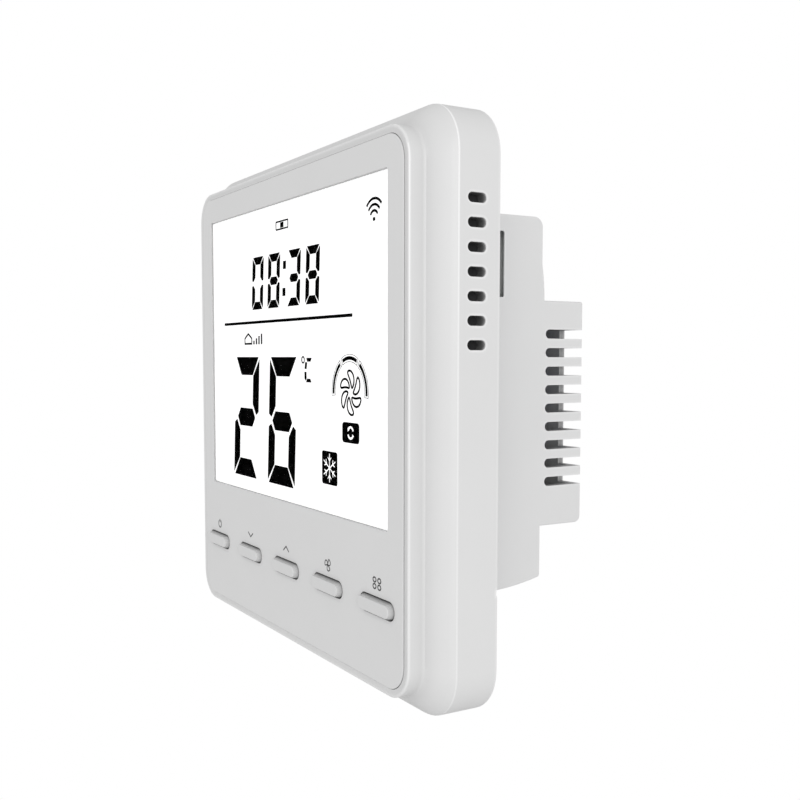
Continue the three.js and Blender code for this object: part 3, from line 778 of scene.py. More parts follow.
class Digit:
    """Seven-segment digit in true millimetres on the glass, leaning by the slant."""

    def __init__(self, left, top, width, height, across, upright, gap):
        self.left, self.top, self.width, self.height = left, top, width, height
        self.across, self.upright, self.gap = across, upright, gap

    def lean(self, points):
        return [(self.left + u + SLANT * v, self.top + v) for u, v in points]

    def shape(self, name):
        width, height, gap = self.width, self.height, self.gap
        flat, tall = self.across, self.upright
        mid = -height / 2
        if name == "a":
            inset = tall + gap * 0.2
            return [(gap, 0), (width - gap, 0), (width - inset, -flat), (inset, -flat)]
        if name == "d":
            return [(u, -height - v) for u, v in reversed(self.shape("a"))]
        if name == "g":
            half = flat / 2
            inset = tall * 0.38 + gap
            corner = tall - gap * 0.3
            return [
                (inset, mid), (corner, mid + half), (width - corner, mid + half),
                (width - inset, mid), (width - corner, mid - half), (corner, mid - half),
            ]
        if name in "bf":
            inside = tall - gap * 0.3
            points = [
                (0, -gap), (inside, -flat - gap * 0.35), (inside, mid + flat * 0.76),
                (tall * 0.38, mid + gap * 1.4), (0, mid + flat * 0.34),
            ]
            return points if name == "f" else [(width - u, v) for u, v in reversed(points)]
        upper = self.shape("f" if name == "e" else "b")
        return [(u, -height - v) for u, v in reversed(upper)]

    def draw(self, patch, digit):
        for name in SEGMENTS[digit]:
            patch(self.lean(self.shape(name)))


def draw_snow(line, mid_x, mid_z, reach):
    for k in range(6):
        angle = 90 + 60 * k
        line([(mid_x, mid_z), compass(mid_x, mid_z, reach, angle)], 0.2)
        fork = compass(mid_x, mid_z, reach * 0.52, angle)
        for side in (-48, 48):
            line([fork, compass(*fork, reach * 0.34, angle + side)], 0.18)


def build_segments(bm):
    line, patch = printer(bm, SEG_Y, SEG_Y + INK)
    for left, digit in ((-14.3, "0"), (-7.35, "8"), (0.75, "3"), (7.7, "8")):
        Digit(left, 25.95, 4.9, 9.25, 1.36, 1.4, 0.24).draw(patch, digit)
    for top in (24.36, 19.86):
        lean = SLANT * (top - 25.85)
        corners = ((-1.25, -1.35), (-0.1, -1.35), (-0.05, 0), (-1.2, 0))
        patch([(x + lean, top + z) for x, z in corners])
    for left, digit in ((-22.75, "2"), (-7.0, "6")):
        Digit(left, 8.25, 11.1, 22.05, 3.3, 2.85, 0.42).draw(patch, digit)
    line([(-28.3, 14.45), (23.1, 14.45)], 0.5)
    # degree ring and C, as two uprights and two bars
    line(disc(0.5, 6.2, 7.79, 20)(), 0.26, closed=True)
    patch([(7.75, 7.5), (8.95, 7.5), (9.4, 8.12), (7.45, 8.12)])
    patch([(6.8, 6.3), (7.5, 6.3), (7.75, 7.4), (7.0, 7.4)])
    patch([(6.75, 4.75), (7.05, 4.4), (7.5, 4.75), (7.45, 5.85), (6.75, 5.85)])
    patch([(7.35, 4.15), (9.25, 4.15), (8.85, 4.75), (7.65, 4.75)])
    # fan: six curled blades under three speed arcs
    fan_x, arc_x, fan_z = 22.5, 22.2, 2.9
    for k in range(6):
        blade = petal_loop(fan_x, fan_z, math.radians(62 - 60 * k), 0.85, 2.5, 1.75, 0.65)
        line(blade, 0.34, closed=True)
    for start, end in ((183, 126), (115, 65), (54, -4)):
        line(arc(arc_x, fan_z, 5.2, start, end, 16), 0.55)
        rim = arc(arc_x, fan_z, 5.75, end - 3, start + 3, 16)
        rim += arc(arc_x, fan_z, 4.65, start + 3, end - 3, 16)
        line(rim, 0.07, closed=True)
    # Wi-Fi arcs and dot
    for radius, end in ((2.9, 43), (2.05, 40), (1.2, 33)):
        line(arc(29.62, 27.75, radius, 180 - end, end, 14), 0.38)
    patch([(29.3, 27.5), (29.95, 27.5), (29.95, 27.98), (29.3, 27.98)])
    # weekday mark: a strip of three day cells with the middle one lit, in place of the word
    line(between(-4.1, 29.8, 0.7, 31.1, 0.1, 2)(), 0.26, closed=True)
    patch([(-2.35, 30.0), (-1.05, 30.0), (-1.05, 30.9), (-2.35, 30.9)])
    # room mark: a small house outline and rising ticks, in place of the word
    house = [(-18.3, 11.6), (-16.7, 12.45), (-15.1, 11.6), (-15.1, 10.65), (-18.3, 10.65)]
    line(list(reversed(house)), 0.34, closed=True)
    for k in range(4):
        x = -14.1 + k * 1.15
        line([(x, 10.5), (x, 11.2 + 0.4 * k)], 0.55)


add("lcd_segments", build_segments, FRONT, segment_look)

MODE_X, MODE_Z = 22.5, -3.12
SNOW_X, SNOW_Z = 15.55, -9.08
MODE_BOX = rrect(5.35, 3.1, 0.6, MODE_X, MODE_Z)
SNOW_BOX = rrect(5.2, 5.25, 0.45, SNOW_X, SNOW_Z)


def build_mode_boxes(bm):
    for shape in (MODE_BOX, SNOW_BOX):
        slab(bm, "y", shape, SEG_Y + 0.01, SEG_Y + INK)


def build_mode_marks(bm):
    line, patch = printer(bm, SEG_Y - 0.01, SEG_Y + 0.01)
    draw_snow(line, SNOW_X, SNOW_Z, 2.25)
    for start in (20, 200):
        line(arc(MODE_X, MODE_Z, 0.85, start, start + 120, 10), 0.34)
        tip_x, tip_z = compass(MODE_X, MODE_Z, 0.85, start + 128)
        patch(disc(0.34, tip_x, tip_z, 3)())


add("lcd_mode_boxes", build_mode_boxes, FRONT, segment_look)
add("lcd_mode_marks", build_mode_marks, FRONT, lcd_look)


# ---------------------------------------------------------------- rear housing

REAR_HALF, REAR_WALL, REAR_BACK_WALL = 26.0, 1.6, 1.1
REAR_TOP, REAR_BOTTOM, CURVE_Y, BOTTOM_AT_BACK = 30.75, -29.4, 9.8, -28.1
STAGE_BACK, LEDGE_BACK, LEDGE_TOP = 21.3, 21.8, 23.2
STEP_TOP, STEP_BOTTOM, REAR_BACK = 17.4, -19.55, 29.86
REAR_CORNER, STAGE_CORNER, LEDGE_CORNER, REAR_TOP_CORNER = 1.1, 0.6, 0.4, 1.6
REAR_EDGE, REAR_SHADE_BAND_END = 0.3, 0.14
LIP_FRONT, LIP_BACK, LIP_TOP, LIP_BOTTOM = -2.6, -1.3, 37.4, -36.0
LIP_SCREWS = ((-20, 34.2), (20, 34.2), (-20, -32.8), (20, -32.8))
TERMINAL_PITCH = 7.6
TERMINAL_PLACES = [(k - 2.5) * TERMINAL_PITCH for k in range(6)]
WIRE_WAY, WIRE_FRONT, WIRE_BACK = 3.9, 7.1, 11.0
DRIVER_Z, DRIVER_BORE = 25.6, 1.95
COMB_COUNT, COMB_PITCH, COMB_H, COMB_Z, COMB_Y, COMB_IN = 9, 3.03, 1.5, -0.13, 22.0, 21.4
ON_POWER, POST_RADIUS = 4.7, 1.8
POSTS = ((-21.8, -24.9), (21.8, -24.9))


def rear_profile():
    """Side view of the rear housing as (y, z), anticlockwise from the front of the underside."""
    run = STAGE_BACK - STAGE_CORNER - CURVE_Y
    rise = BOTTOM_AT_BACK - REAR_BOTTOM
    sweep_radius = (run * run + rise * rise) / (2 * rise)
    sweep = math.degrees(math.asin(run / sweep_radius))
    points = [(LIP_BACK - 0.5, REAR_BOTTOM)]
    points += arc(CURVE_Y, REAR_BOTTOM + sweep_radius, sweep_radius, -90, -90 + sweep, 8)
    low = BOTTOM_AT_BACK + STAGE_CORNER
    points += arc(STAGE_BACK - STAGE_CORNER, low, STAGE_CORNER, -90 + sweep, 0, 5)[1:]
    points += [(STAGE_BACK, STEP_BOTTOM)]
    points += arc(REAR_BACK - REAR_CORNER, STEP_BOTTOM + REAR_CORNER, REAR_CORNER, -90, 0, 6)
    points += arc(REAR_BACK - LEDGE_CORNER, STEP_TOP - LEDGE_CORNER, LEDGE_CORNER, 0, 90, 5)
    for k in range(7):
        t = k / 6
        middle = (STEP_TOP + LEDGE_TOP) / 2
        y = (1 - t * t) * LEDGE_BACK + t * t * STAGE_BACK
        z = (1 - t) ** 2 * STEP_TOP + 2 * t * (1 - t) * middle + t * t * LEDGE_TOP
        points.append((y, z))
    high = REAR_TOP - REAR_TOP_CORNER
    points += arc(STAGE_BACK - REAR_TOP_CORNER, high, REAR_TOP_CORNER, 0, 90, 8)
    points += [(LIP_BACK - 0.5, REAR_TOP)]
    return points


def rear_cavity():
    deep = STAGE_BACK - REAR_WALL
    back = REAR_BACK - REAR_BACK_WALL
    return [
        (LIP_FRONT - 1, REAR_BOTTOM + REAR_WALL), (CURVE_Y, REAR_BOTTOM + REAR_WALL),
        (deep, BOTTOM_AT_BACK + REAR_WALL), (deep, STEP_BOTTOM + REAR_WALL),
        (back, STEP_BOTTOM + REAR_WALL), (back, STEP_TOP - REAR_WALL),
        (deep, STEP_TOP - REAR_WALL), (deep, REAR_TOP - REAR_WALL), (LIP_FRONT - 1, REAR_TOP - REAR_WALL),
    ]


def wire_ways(bm, low_z, high_z):
    """The opening for the wire of each terminal."""
    half = WIRE_WAY / 2
    for x in TERMINAL_PLACES:
        block(bm, (x - half, WIRE_FRONT, low_z), (x + half, WIRE_BACK, high_z), 0.25, 0.05, "z")


def driver_bores(bm, low_y, high_y):
    """The hole for the screwdriver of each terminal."""
    for x in TERMINAL_PLACES:
        slab(bm, "y", disc(DRIVER_BORE, x, DRIVER_Z), low_y, high_y)


def rear_housing():
    bm = bmesh.new()
    slab(bm, "x", outline(rear_profile()), -REAR_HALF, REAR_HALF, REAR_EDGE, REAR_EDGE)
    piece = link("rear_housing_look", bm)
    lip = bmesh.new()
    lip_shape = rrect(2 * REAR_HALF, LIP_TOP - LIP_BOTTOM, 2.0, 0, (LIP_TOP + LIP_BOTTOM) / 2)
    slab(lip, "y", lip_shape, LIP_FRONT, LIP_BACK, 0.15, 0.15)
    carve(piece, lip, "UNION")
    cavity = bmesh.new()
    inner = REAR_HALF - REAR_WALL
    slab(cavity, "x", outline(rear_cavity()), -inner, inner)
    carve(piece, cavity)
    posts = bmesh.new()
    for x, z in POSTS:
        turned(posts, "y", x, z, [(ON_POWER, POST_RADIUS), (STAGE_BACK - 1, POST_RADIUS)], 24)
    carve(piece, posts, "UNION")
    tools = bmesh.new()
    for side in (-1, 1):
        wall_x = side * REAR_HALF
        rings = []
        for outward, flare in ((1.0, 0.0), (-0.25, 0.0), (-REAR_WALL - 0.1, 1.5), (-3.0, 1.5)):
            opening = between(5, 17.7, 13.5 + flare, 28.1 + flare * 0.3, 0.3, 4)
            rings.append(add_ring(tools, "x", opening(), wall_x + side * outward))
        loft(tools, rings)
        for k in range(COMB_COUNT):
            z = COMB_Z + (k - (COMB_COUNT - 1) / 2) * COMB_PITCH
            length = 2 * (REAR_BACK - COMB_Y)
            shape = obround(length, COMB_H, COMB_Y + length / 2, z)
            ends = sorted((side * COMB_IN, side * (REAR_HALF + 1)))
            slab(tools, "x", shape, ends[0], ends[1])
    wire_ways(tools, 29.05, REAR_TOP + 1)
    driver_bores(tools, STAGE_BACK - REAR_WALL - 0.5, STAGE_BACK + 1)
    for x, z in LIP_SCREWS:
        slab(tools, "y", disc(1.4, x, z, 24), LIP_FRONT - 1, 0)
    carve(piece, tools)
    soften(piece, 0.12)
    finish_piece(piece, WALL, rear_look, ["rear_housing"])
    # painted shade on the rounding faces along the side edges
    piece.data.materials.append(rear_edge_shade_look)
    for face in piece.data.polygons:
        if REAR_HALF - REAR_EDGE < abs(face.center.x) / MM < REAR_HALF - REAR_SHADE_BAND_END:
            face.material_index = 1


rear_housing()


# ---------------------------------------------------------------- steel plate and fasteners

PLATE_SIZE, WALL_SLOT_X, TONGUE_X, TONGUE_HALF = 81.2, 30.15, 22.0, 4.5


def mounting_plate():
    holes = [between(-26.3, -29.7, 26.3, 31.05, 1.0, 5)]
    holes += [rrect(4.6, 8.0, 2.2, x, 0) for x in (-WALL_SLOT_X, WALL_SLOT_X)]
    holes += [disc(1.2, x, z, 20) for x, z in LIP_SCREWS]
    bm = bmesh.new()
    outer = rrect(PLATE_SIZE, PLATE_SIZE, 5.0, steps=10)
    slab(bm, "y", outer, -1.2, 0, 0.12, 0.12, holes, hole_round=0.1)
    piece = link("mounting_plate_look", bm)
    tongues = bmesh.new()
    edge = PLATE_SIZE / 2
    for x in (-TONGUE_X, TONGUE_X):
        for low_z, high_z in ((-edge, 1.0 - edge), (edge - 1.0, edge)):
            block(tongues, (x - TONGUE_HALF, -4.0, low_z), (x + TONGUE_HALF, -0.6, high_z), 0.3, 0.3, "z")
    carve(piece, tongues, "UNION")
    finish_piece(piece, WALL, plate_look, ["mounting_plate"])


mounting_plate()


def pan_screw(node, body, outward):
    """Pan head screw with rolled thread and Phillips recess. outward is the way its head faces."""
    box = Span(node)
    face, tip = (box.front, box.back) if outward < 0 else (box.back, box.front)
    inward, length = -outward, abs(tip - face)
    head, core, crest = (1.2, 0.62, 0.8) if length > 4 else (1.1, 0.9, 1.1)
    profile = [(face, 0.1), (face, box.radius * 0.45)]
    for rise, run in quarter(5)[1:]:
        profile.append((face + inward * 0.62 * run, box.radius * (0.45 + 0.55 * rise)))
    seat = face + inward * head
    profile += [(seat, box.radius), (seat, core)]
    w = seat + inward * 0.25
    while abs(w - face) < length - 0.45:
        profile += [(w, core), (w + inward * 0.16, crest), (w + inward * 0.32, core)]
        w += inward * 0.5
    profile += [(tip - inward * 0.2, core), (tip, core * 0.4)]
    bm = bmesh.new()
    turned(bm, "y", box.x, box.z, profile, 24)
    piece = link(node + "_look", bm)
    reach, narrow = box.radius * 0.55, 0.22
    for half_x, half_z in ((reach, narrow), (narrow, reach)):
        tool = bmesh.new()
        rings = []
        for w, scale in ((face - inward * 0.5, 1.0), (face + inward * 0.75, 0.5)):
            shape = rrect(2 * half_x * scale, 2 * half_z * scale, 0.05, box.x, box.z, 2)
            rings.append(add_ring(tool, "y", shape(), w))
        loft(tool, rings)
        carve(piece, tool)
    finish_piece(piece, body, screw_look, [node])


for k in range(4):
    pan_screw(f"housing_screw_{k + 1}", WALL, -1)
    pan_screw(f"control_board_screw_{k + 1}", FRONT, 1)
for k in range(2):
    pan_screw(f"power_board_screw_{k + 1}", WALL, -1)


# ---------------------------------------------------------------- behind the panel

def build_backlight(bm, box):
    slab(bm, "y", box.footprint(0.5), box.front, box.back, 0.1, 0.2)


def build_lcd_frame(bm, box):
    hole = box.footprint(0.5, inset=0.9)
    slab(bm, "y", box.footprint(1.0, 5), box.front, box.back, 0.12, 0.12, [hole])


def build_zebra(bm, box):
    section = between(box.front, box.low.z, box.back, box.high.z, 0.3)
    slab(bm, "x", section, box.low.x, box.high.x, 0.1, 0.1)


make("lcd_backlight", build_backlight, FRONT, "lcd_white_plastic", diffuser_look)
make("lcd_frame", build_lcd_frame, FRONT, "lcd_white_plastic", diffuser_look)
make("lcd_connector", build_zebra, FRONT, "black_rubber", rubber_look)

BOARD_HOLE = 1.1


def build_control_board(bm, box):
    holes = [disc(BOARD_HOLE, x, z, 24) for x, z in BOARD_SCREWS]
    outer = rrect(80.8, 80.8, 5.0, steps=10)
    slab(bm, "y", outer, box.front, box.back, 0.06, 0.06, holes, hole_round=0.05)


def build_switch(bm, box):
    face = box.front
    hole = disc(0.9, box.x, box.z, 20)
    slab(bm, "y", box.footprint(0.25), face + 0.15, box.back, 0.1, 0.1, [hole], hole_round=0.05)
    rivet = [(face, 0.15), (face + 0.04, 0.27), (face + 0.14, 0.3)]
    for side_x, side_z in CORNERS:
        turned(bm, "y", box.x + side_x * 2.4, box.z + side_z * 1.3, rivet, 12)


def build_stem(bm, box):
    face, back, radius = box.front, box.back, box.radius
    crown = [(face, radius * 0.6), (face + 0.05, radius * 0.85), (face + 0.15, radius)]
    turned(bm, "y", box.x, box.z, crown + [(back - 0.05, radius), (back, radius * 0.9)], 24)


make("control_board", build_control_board, FRONT, "circuit_board", board_look)
for key in KEY_NAMES:
    make(key + "_switch_body", build_switch, FRONT, "dark_component", dark_look)
    make(key + "_switch_stem", build_stem, key + "_button", "dark_component", dark_look)


def build_microcontroller(bm, box):
    """Flat pack with gull-wing legs on all four sides."""
    low, high = box.low, box.high
    leg, half = 1.0, 0.16
    block(bm, (low.x + leg, low.y + 0.1, low.z + leg), (high.x - leg, high.y, high.z - leg), 0.4, 0.18)
    for k in range(11):
        x, z = box.x + (k - 5) * 0.8, box.z + (k - 5) * 0.8
        for x0, x1 in ((low.x, low.x + leg), (high.x - leg, high.x)):
            block(bm, (x0, low.y, z - half), (x1, low.y + 0.3, z + half), 0.05, 0.04)
        for z0, z1 in ((low.z, low.z + leg), (high.z - leg, high.z)):
            block(bm, (x - half, low.y, z0), (x + half, low.y + 0.3, z1), 0.05, 0.04)


WIFI_BOARD = 0.8


def build_wifi(bm, box):
    low, high = box.low, box.high
    block(bm, low, (high.x, low.y + WIFI_BOARD, high.z), 0.3, 0.06)
    can_low = (low.x + 0.7, low.y + WIFI_BOARD + 0.02, low.z + 0.8)
    block(bm, can_low, (high.x - 0.7, high.y, low.z + 17.5), 0.5, 0.2)


def build_antenna(bm):
    """Meander antenna printed past the end of the shielding can."""
    box = Span("wifi_module")
    face, top, foot = box.front + WIFI_BOARD, box.high.z - 1.2, box.high.z - 4.6
    x, step = box.low.x + 1.5, 1.3
    points = [(x, foot - 1)]
    while x < box.high.x - 3.4:
        points += [(x, top), (x + step, top), (x + step, foot), (x + 2 * step, foot)]
        x += 2 * step
    ribbon(bm, points, 0.5, face, face + 0.03)


def build_cell(bm, box):
    low, high, radius = box.front, box.back, box.radius
    cup = [(low, radius * 0.8), (low + 0.1, radius * 0.86), (low + 0.5, radius * 0.88)]
    cup += [(low + 0.6, radius * 0.97), (low + 0.75, radius)]
    cup += [(high - 0.25, radius), (high - 0.05, radius - 0.2)]
    lid = [(high, radius - 0.4), (high, radius * 0.55), (high - 0.06, radius * 0.5), (high - 0.06, 0.1)]
    turned(bm, "y", box.x, box.z, cup + lid, 48)


def build_sensor(bm, box):
    """Epoxy bead on two bent legs."""
    low, high = box.low, box.high
    radius = (high.y - low.y) / 2
    profile = []
    for k in range(13):
        angle = math.pi * k / 12
        stretch = 1.25 if k < 6 else 1.0
        profile.append((high.x - radius - radius * stretch * math.cos(angle), radius * math.sin(angle)))
    turned(bm, "x", box.y, box.z, profile, 24)
    leg = [(low.x, 0.2), (low.x + 0.05, 0.24), (high.x - 2.6, 0.24)]
    for side in (-0.6, 0.6):
        turned(bm, "x", low.y + 0.25, box.z + side, leg, 10)


HEADER_COUNT, HEADER_PITCH, HEADER_Z, HEADER_W, HEADER_NOTCH = 12, 2.54, -21.0, 2.5, 0.3
HEADER_PLACES = [(k - (HEADER_COUNT - 1) / 2) * HEADER_PITCH for k in range(HEADER_COUNT)]


def header_outline():
    """Strip of joined cells with a notch between each pair."""
    deep = HEADER_W / 2
    reach = HEADER_PITCH / 2
    lower = [(HEADER_PLACES[0] - reach, HEADER_NOTCH - deep)]
    for x in HEADER_PLACES:
        lower += [(x - reach + HEADER_NOTCH, -deep), (x + reach - HEADER_NOTCH, -deep)]
        lower.append((x + reach, HEADER_NOTCH - deep))
    upper = [(x, -z) for x, z in reversed(lower)]
    return [(x, HEADER_Z + z) for x, z in lower + upper]


def build_header(bm, box):
    strip = box.front + 2.0
    slab(bm, "y", outline(header_outline()), box.front, strip)
    for x in HEADER_PLACES:
        rings = []
        for w, half in ((strip + 0.01, 0.32), (box.back - 0.5, 0.32), (box.back, 0.16)):
            rings.append(add_ring(bm, "y", rrect(2 * half, 2 * half, 0.04, x, HEADER_Z, 2)(), w))
        loft(bm, rings)


def build_socket(bm, box):
    holes = [rrect(1.0, 1.0, 0.1, x, HEADER_Z, 2) for x in HEADER_PLACES]
    slab(bm, "y", box.footprint(0.2), box.front, box.back, 0.1, 0.1, holes, hole_round=0.15)


def build_passives(bm):
    """Chip resistors and capacitors in two rows beside the controller."""
    box = Span("microcontroller")
    face = box.front - 0.1
    for k in range(14):
        x = box.low.x - 3.2 + (k % 7) * 2.9
        z = box.low.z - 2.4 if k < 7 else box.high.z + 1.9
        half_x, half_z = (0.8, 0.4) if k % 3 == 0 else (0.4, 0.8)
        block(bm, (x - half_x, face, z - half_z), (x + half_x, face + 0.55, z + half_z), 0.08, 0.06)


make("microcontroller", build_microcontroller, FRONT, "dark_component", dark_look)
make("wifi_module", build_wifi, FRONT, "component_metal", can_look)
add("wifi_antenna", build_antenna, FRONT, can_look)
make("backup_cell", build_cell, FRONT, "component_metal", can_look)
make("temperature_sensor", build_sensor, FRONT, "black_rubber", rubber_look)
make("header_pins", build_header, FRONT, "dark_component", dark_look)
make("board_socket", build_socket, WALL, "dark_component", dark_look)
add("control_board_passives", build_passives, FRONT, dark_look)


def build_vent_shade_strip(bm):
    """Dark strip behind the side vents, standing in for the shade inside them."""
    inside = FLANGE / 2 - 2.02
    half = VENT_COUNT * VENT_PITCH / 2 + 1
    high = (inside, VENT_Y + 2.4, VENT_Z + half)
    block(bm, (inside - 0.3, VENT_Y - 2.2, VENT_Z - half), high, 0.2, 0.05, "x")


add("vent_shade_strip", build_vent_shade_strip, FRONT, vent_shade_look)


# ---------------------------------------------------------------- power board

def build_power_board(bm, box):
    holes = [disc(BOARD_HOLE, x, z, 24) for x, z in POSTS]
    slab(bm, "y", box.footprint(0.4), box.front, box.back, 0.06, 0.06, holes, hole_round=0.05)


def terminal_block():
    box = Span("terminal_block")
    low, high = box.low, box.high
    bm = bmesh.new()
    block(bm, low, high, 0.4, 0.2)
    piece = link("terminal_block_look", bm)
    tools = bmesh.new()
    wire_ways(tools, 20.0, high.z + 1)
    for x in TERMINAL_PLACES[:-1]:
        gap = x + TERMINAL_PITCH / 2
        start, end = (gap - 0.2, low.y + 0.6, high.z - 0.5), (gap + 0.2, high.y + 1, high.z + 1)
        block(tools, start, end, 0.05, 0.05, "z")
    carve(piece, tools)
    bores = bmesh.new()
    driver_bores(bores, WIRE_BACK - 0.5, high.y + 1)
    carve(piece, bores)
    soften(piece, 0.08)
    finish_piece(piece, WALL, terminal_look, ["terminal_block"])


def terminal_screw(node):
    """Slotted clamp screw with its captive pressure plate."""
    box = Span(node)
    low, high, head_radius, head_y = box.low, box.high, 1.75, 16.0
    profile = [(low.y, 0.7), (low.y + 0.15, 1.05)]
    w = low.y + 0.3
    while w < head_y - 0.4:
        profile += [(w, 1.0), (w + 0.2, 1.2), (w + 0.4, 1.0)]
        w += 0.6
    profile += [(head_y, 1.1), (head_y, head_radius - 0.1), (head_y + 0.1, head_radius)]
    profile += [(high.y - 0.2, head_radius), (high.y - 0.05, head_radius - 0.08)]
    profile += [(high.y, head_radius - 0.25)]
    bm = bmesh.new()
    turned(bm, "y", box.x, DRIVER_Z, profile, 32)
    piece = link(node + "_look", bm)
    plate = bmesh.new()
    block(plate, (low.x, 9.4, low.z), (high.x, 10.4, high.z), 0.2, 0.12)
    carve(piece, plate, "UNION")
    slot = bmesh.new()
    start, end = (box.x - 3, high.y - 0.7, DRIVER_Z - 0.3), (box.x + 3, high.y + 1, DRIVER_Z + 0.3)
    block(slot, start, end, 0.05, 0.05)
    carve(piece, slot)
    finish_piece(piece, WALL, screw_look, [node])


make("power_board", build_power_board, WALL, "circuit_board", power_look)
terminal_block()
for k in range(len(TERMINAL_PLACES)):
    terminal_screw(f"terminal_screw_{k + 1}")


def build_relay(bm, box):
    """Sealed relay: base skirt, drafted case, rounded top with a vent nub."""
    low, high = box.front, box.back
    shape = box.footprint(0.6, 5)
    stations = [(low, 0.0), (low + 1.2, 0.0), (low + 1.3, -0.16), (high - 0.5, -0.3)]
    stations += [(high - 0.5 + 0.35 * rise, -0.3 - 0.4 * run) for rise, run in quarter(4)[1:]]
    loft(bm, [add_ring(bm, "y", shape(grow), y) for y, grow in stations])
    top = high - 0.15
    turned(bm, "y", box.x, box.high.z - 2.2, [(top, 0.7), (top + 0.1, 0.65), (top + 0.15, 0.5)], 20)


def build_can(bm, box, collar):
    """Electrolytic capacitor: shrink sleeve with a crimp ring and a rolled top edge."""
    low, high, radius = box.front, box.back, box.radius
    crimp = low + collar
    profile = [(low, radius * 0.8), (low + 0.2, radius * 0.96), (low + 0.5, radius), (crimp, radius)]
    profile += [(crimp + 0.35, radius * 0.93), (crimp + 0.7, radius * 0.93), (crimp + 1.05, radius)]
    profile += [(high - 0.6, radius), (high - 0.2, radius * 0.97), (high - 0.03, radius * 0.9)]
    profile += [(high, radius * 0.82), (high - 0.15, radius * 0.74), (high - 0.15, 0.1)]
    turned(bm, "y", box.x, box.z, profile, 40)


def build_fuse(bm, box):
    low, high, radius = box.front, box.back, box.radius
    profile = [(low, radius - 0.2), (low + 0.2, radius), (low + 1.2, radius), (low + 1.3, radius - 0.25)]
    profile += [(high - 0.6, radius - 0.3), (high - 0.2, radius - 0.5), (high, radius - 0.9)]
    turned(bm, "y", box.x, box.z, profile, 36)


def build_film(bm, box):
    slab(bm, "y", box.footprint(0.8, 6), box.front, box.back, 0.15, 0.6)


def build_choke(bm, box):
    """Drum core with a wound waist."""
    low, high, radius = box.front, box.back, box.radius
    profile = [(low, radius - 0.2), (low + 0.15, radius), (low + 1.3, radius), (low + 1.4, radius * 0.8)]
    w = low + 1.5
    while w < high - 2.0:
        profile += [(w + 0.15, radius * 0.87), (w + 0.45, radius * 0.87), (w + 0.6, radius * 0.8)]
        w += 0.6
    profile += [(high - 1.3, radius), (high - 0.2, radius), (high, radius - 0.2)]
    turned(bm, "y", box.x, box.z, profile, 32)


def build_varistor(bm, box):
    """Lacquered disc standing on two legs."""
    low, radius = box.low, box.radius
    y = box.back - radius
    slab(bm, "z", disc(radius, box.x, y, 40), low.z + 0.3, box.high.z - 0.3, 1.2, 1.2, steps=5)
    leg = [(low.y, 0.3), (low.y + 0.05, 0.35), (y - radius * 0.78, 0.35)]
    for side in (-2.5, 2.5):
        turned(bm, "y", box.x + side, box.z, leg, 12)


BOBBIN = 13.5


def build_coil(bm, box):
    """Taped winding between the bobbin's two cheeks."""
    low = box.front
    for y in (low, low + BOBBIN - 1.0):
        slab(bm, "y", rrect(10, 12, 0.5, box.x, box.z), y, y + 1.0, 0.1, 0.1)
    winding = rrect(9.2, 11.2, 2.0, box.x, box.z)
    slab(bm, "y", winding, low + 1.02, low + BOBBIN - 1.02, 0.1, 0.1)


def transformer_core():
    box = Span("power_transformer")
    low, high, x, z = box.low, box.high, box.x, box.z
    bm = bmesh.new()
    block(bm, (low.x, low.y + 3, z - 3.2), (high.x, high.y, z + 3.2), 0.3, 0.25, "z")
    piece = link("transformer_core_look", bm)
    window = bmesh.new()
    block(window, (x - 5.1, low.y + 4.2, z - 8), (x + 5.1, low.y + BOBBIN + 0.1, z + 8), 0.2, 0.1, "z")
    carve(piece, window)
    seam = bmesh.new()
    middle = (low.y + 3 + high.y) / 2
    for x0, x1 in ((x - 9.0, x - 7.2), (x + 7.2, x + 9.0)):
        block(seam, (x0, middle - 0.12, z - 5), (x1, middle + 0.12, z + 5), 0.04, 0.05, "z")
    carve(piece, seam)
    finish_piece(piece, WALL, dark_look)


for name in ("fan_low", "fan_medium", "fan_high", "valve"):
    make(name + "_relay", build_relay, WALL, "blue_component", relay_look)
make("power_transformer", build_coil, WALL, "amber_component", amber_look)
transformer_core()
make("bulk_capacitor", build_can, WALL, "dark_component", dark_look, 2.0)
make("output_capacitor", build_can, WALL, "dark_component", dark_look, 1.6)
make("fuse", build_fuse, WALL, "dark_component", dark_look)
make("filter_capacitor", build_film, WALL, "amber_component", amber_look)
make("line_choke", build_choke, WALL, "dark_component", dark_look)
make("varistor", build_varistor, WALL, "blue_component", varistor_look)


# ---------------------------------------------------------------- stage

FLOOR_Z = -400.0


def stage():
    bm = bmesh.new()
    rings = [add_ring(bm, "z", disc(r, steps=64)(), FLOOR_Z) for r in (2, 120, 300, 450, 600)]
    skin(bm, rings)
    fill(bm, [rings[0]])
    floor = link("floor", bm)
    graph = Graph("floor_paint", (0.78, 0.78, 0.78), 0.9)
    graph.tint(graph.noise(90.0, 3.0), (0.75, 0.75, 0.75))
    reach = graph.node("ShaderNodeVectorMath", operation="LENGTH")
    graph.tree.links.new(graph.stretch((1, 1, 0)), reach.inputs[0])
    graph.set(graph.shader, Alpha=graph.span(reach.outputs["Value"], 1.0, 0.0, 0.28, 0.58))
    floor.data.materials.append(graph.material)


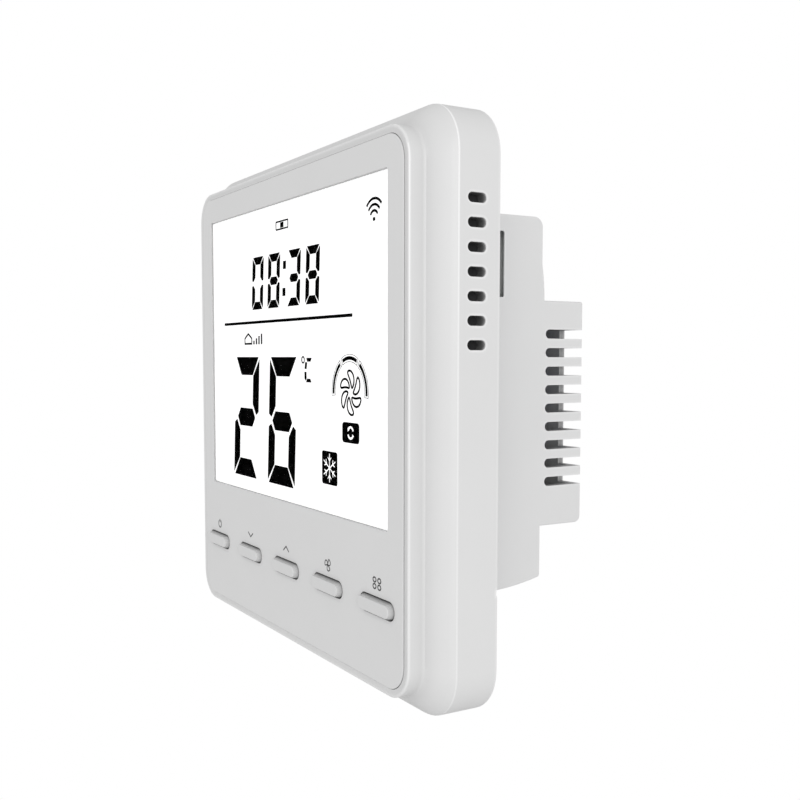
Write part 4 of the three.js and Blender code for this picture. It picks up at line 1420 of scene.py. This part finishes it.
def softbox():
    """One large round light from the upper right, beyond the camera's side."""
    data = bpy.data.lights.new("side_softbox", "AREA")
    data.shape, data.size, data.energy = "DISK", 0.9, 4.6
    lamp = place("side_softbox", data)
    lamp.location = (1.06, -0.52, 0.22)
    lamp.rotation_euler = (-lamp.location).to_track_quat("-Z", "Y").to_euler()


def world():
    """Pale room. It lights the object a little less from above and below, and reads as plain white."""
    studio = bpy.data.worlds.new("studio")
    bpy.context.scene.world = studio
    studio.use_nodes = True
    tree = studio.node_tree

    def wired(kind, links, **values):
        node = tree.nodes.new(kind)
        for name, value in values.items():
            node.inputs[name.replace("_", " ")].default_value = value
        for name, source in links.items():
            tree.links.new(source, node.inputs[name])
        return node

    direction = wired("ShaderNodeTexCoord", {}).outputs["Generated"]
    height = wired("ShaderNodeSeparateXYZ", {"Vector": direction}).outputs["Z"]
    steep = wired("ShaderNodeMath", {0: height})
    steep.operation = "ABSOLUTE"
    fall = wired("ShaderNodeMapRange", {"Value": steep.outputs[0]}, To_Min=0.73, To_Max=0.56)
    seen = wired("ShaderNodeLightPath", {}).outputs["Is Camera Ray"]
    strength = wired("ShaderNodeMapRange", {"To Min": fall.outputs["Result"], "Value": seen}, To_Max=1.0)
    background = tree.nodes["Background"]
    tree.links.new(strength.outputs["Result"], background.inputs["Strength"])
    background.inputs["Color"].default_value = (1, 1, 1, 1)
    bpy.context.scene.view_settings.view_transform = "Standard"


CAMERA_PLACE = (0.154656, -0.083610, 0.008200)
CAMERA_AZIMUTH, CAMERA_PITCH = 59.669, 4.052
CAMERA_LENS, CAMERA_SHIFT = 45.18, (0.0185, 0.0355)


def camera():
    data = bpy.data.cameras.new("camera")
    data.sensor_width, data.lens = 36, CAMERA_LENS
    data.shift_x, data.shift_y = CAMERA_SHIFT
    data.clip_start = 0.005
    eye = place("camera", data)
    eye.location = CAMERA_PLACE
    eye.rotation_euler = (math.radians(90 - CAMERA_PITCH), 0, math.radians(CAMERA_AZIMUTH))
    bpy.context.scene.camera = eye


stage()
world()
softbox()
camera()
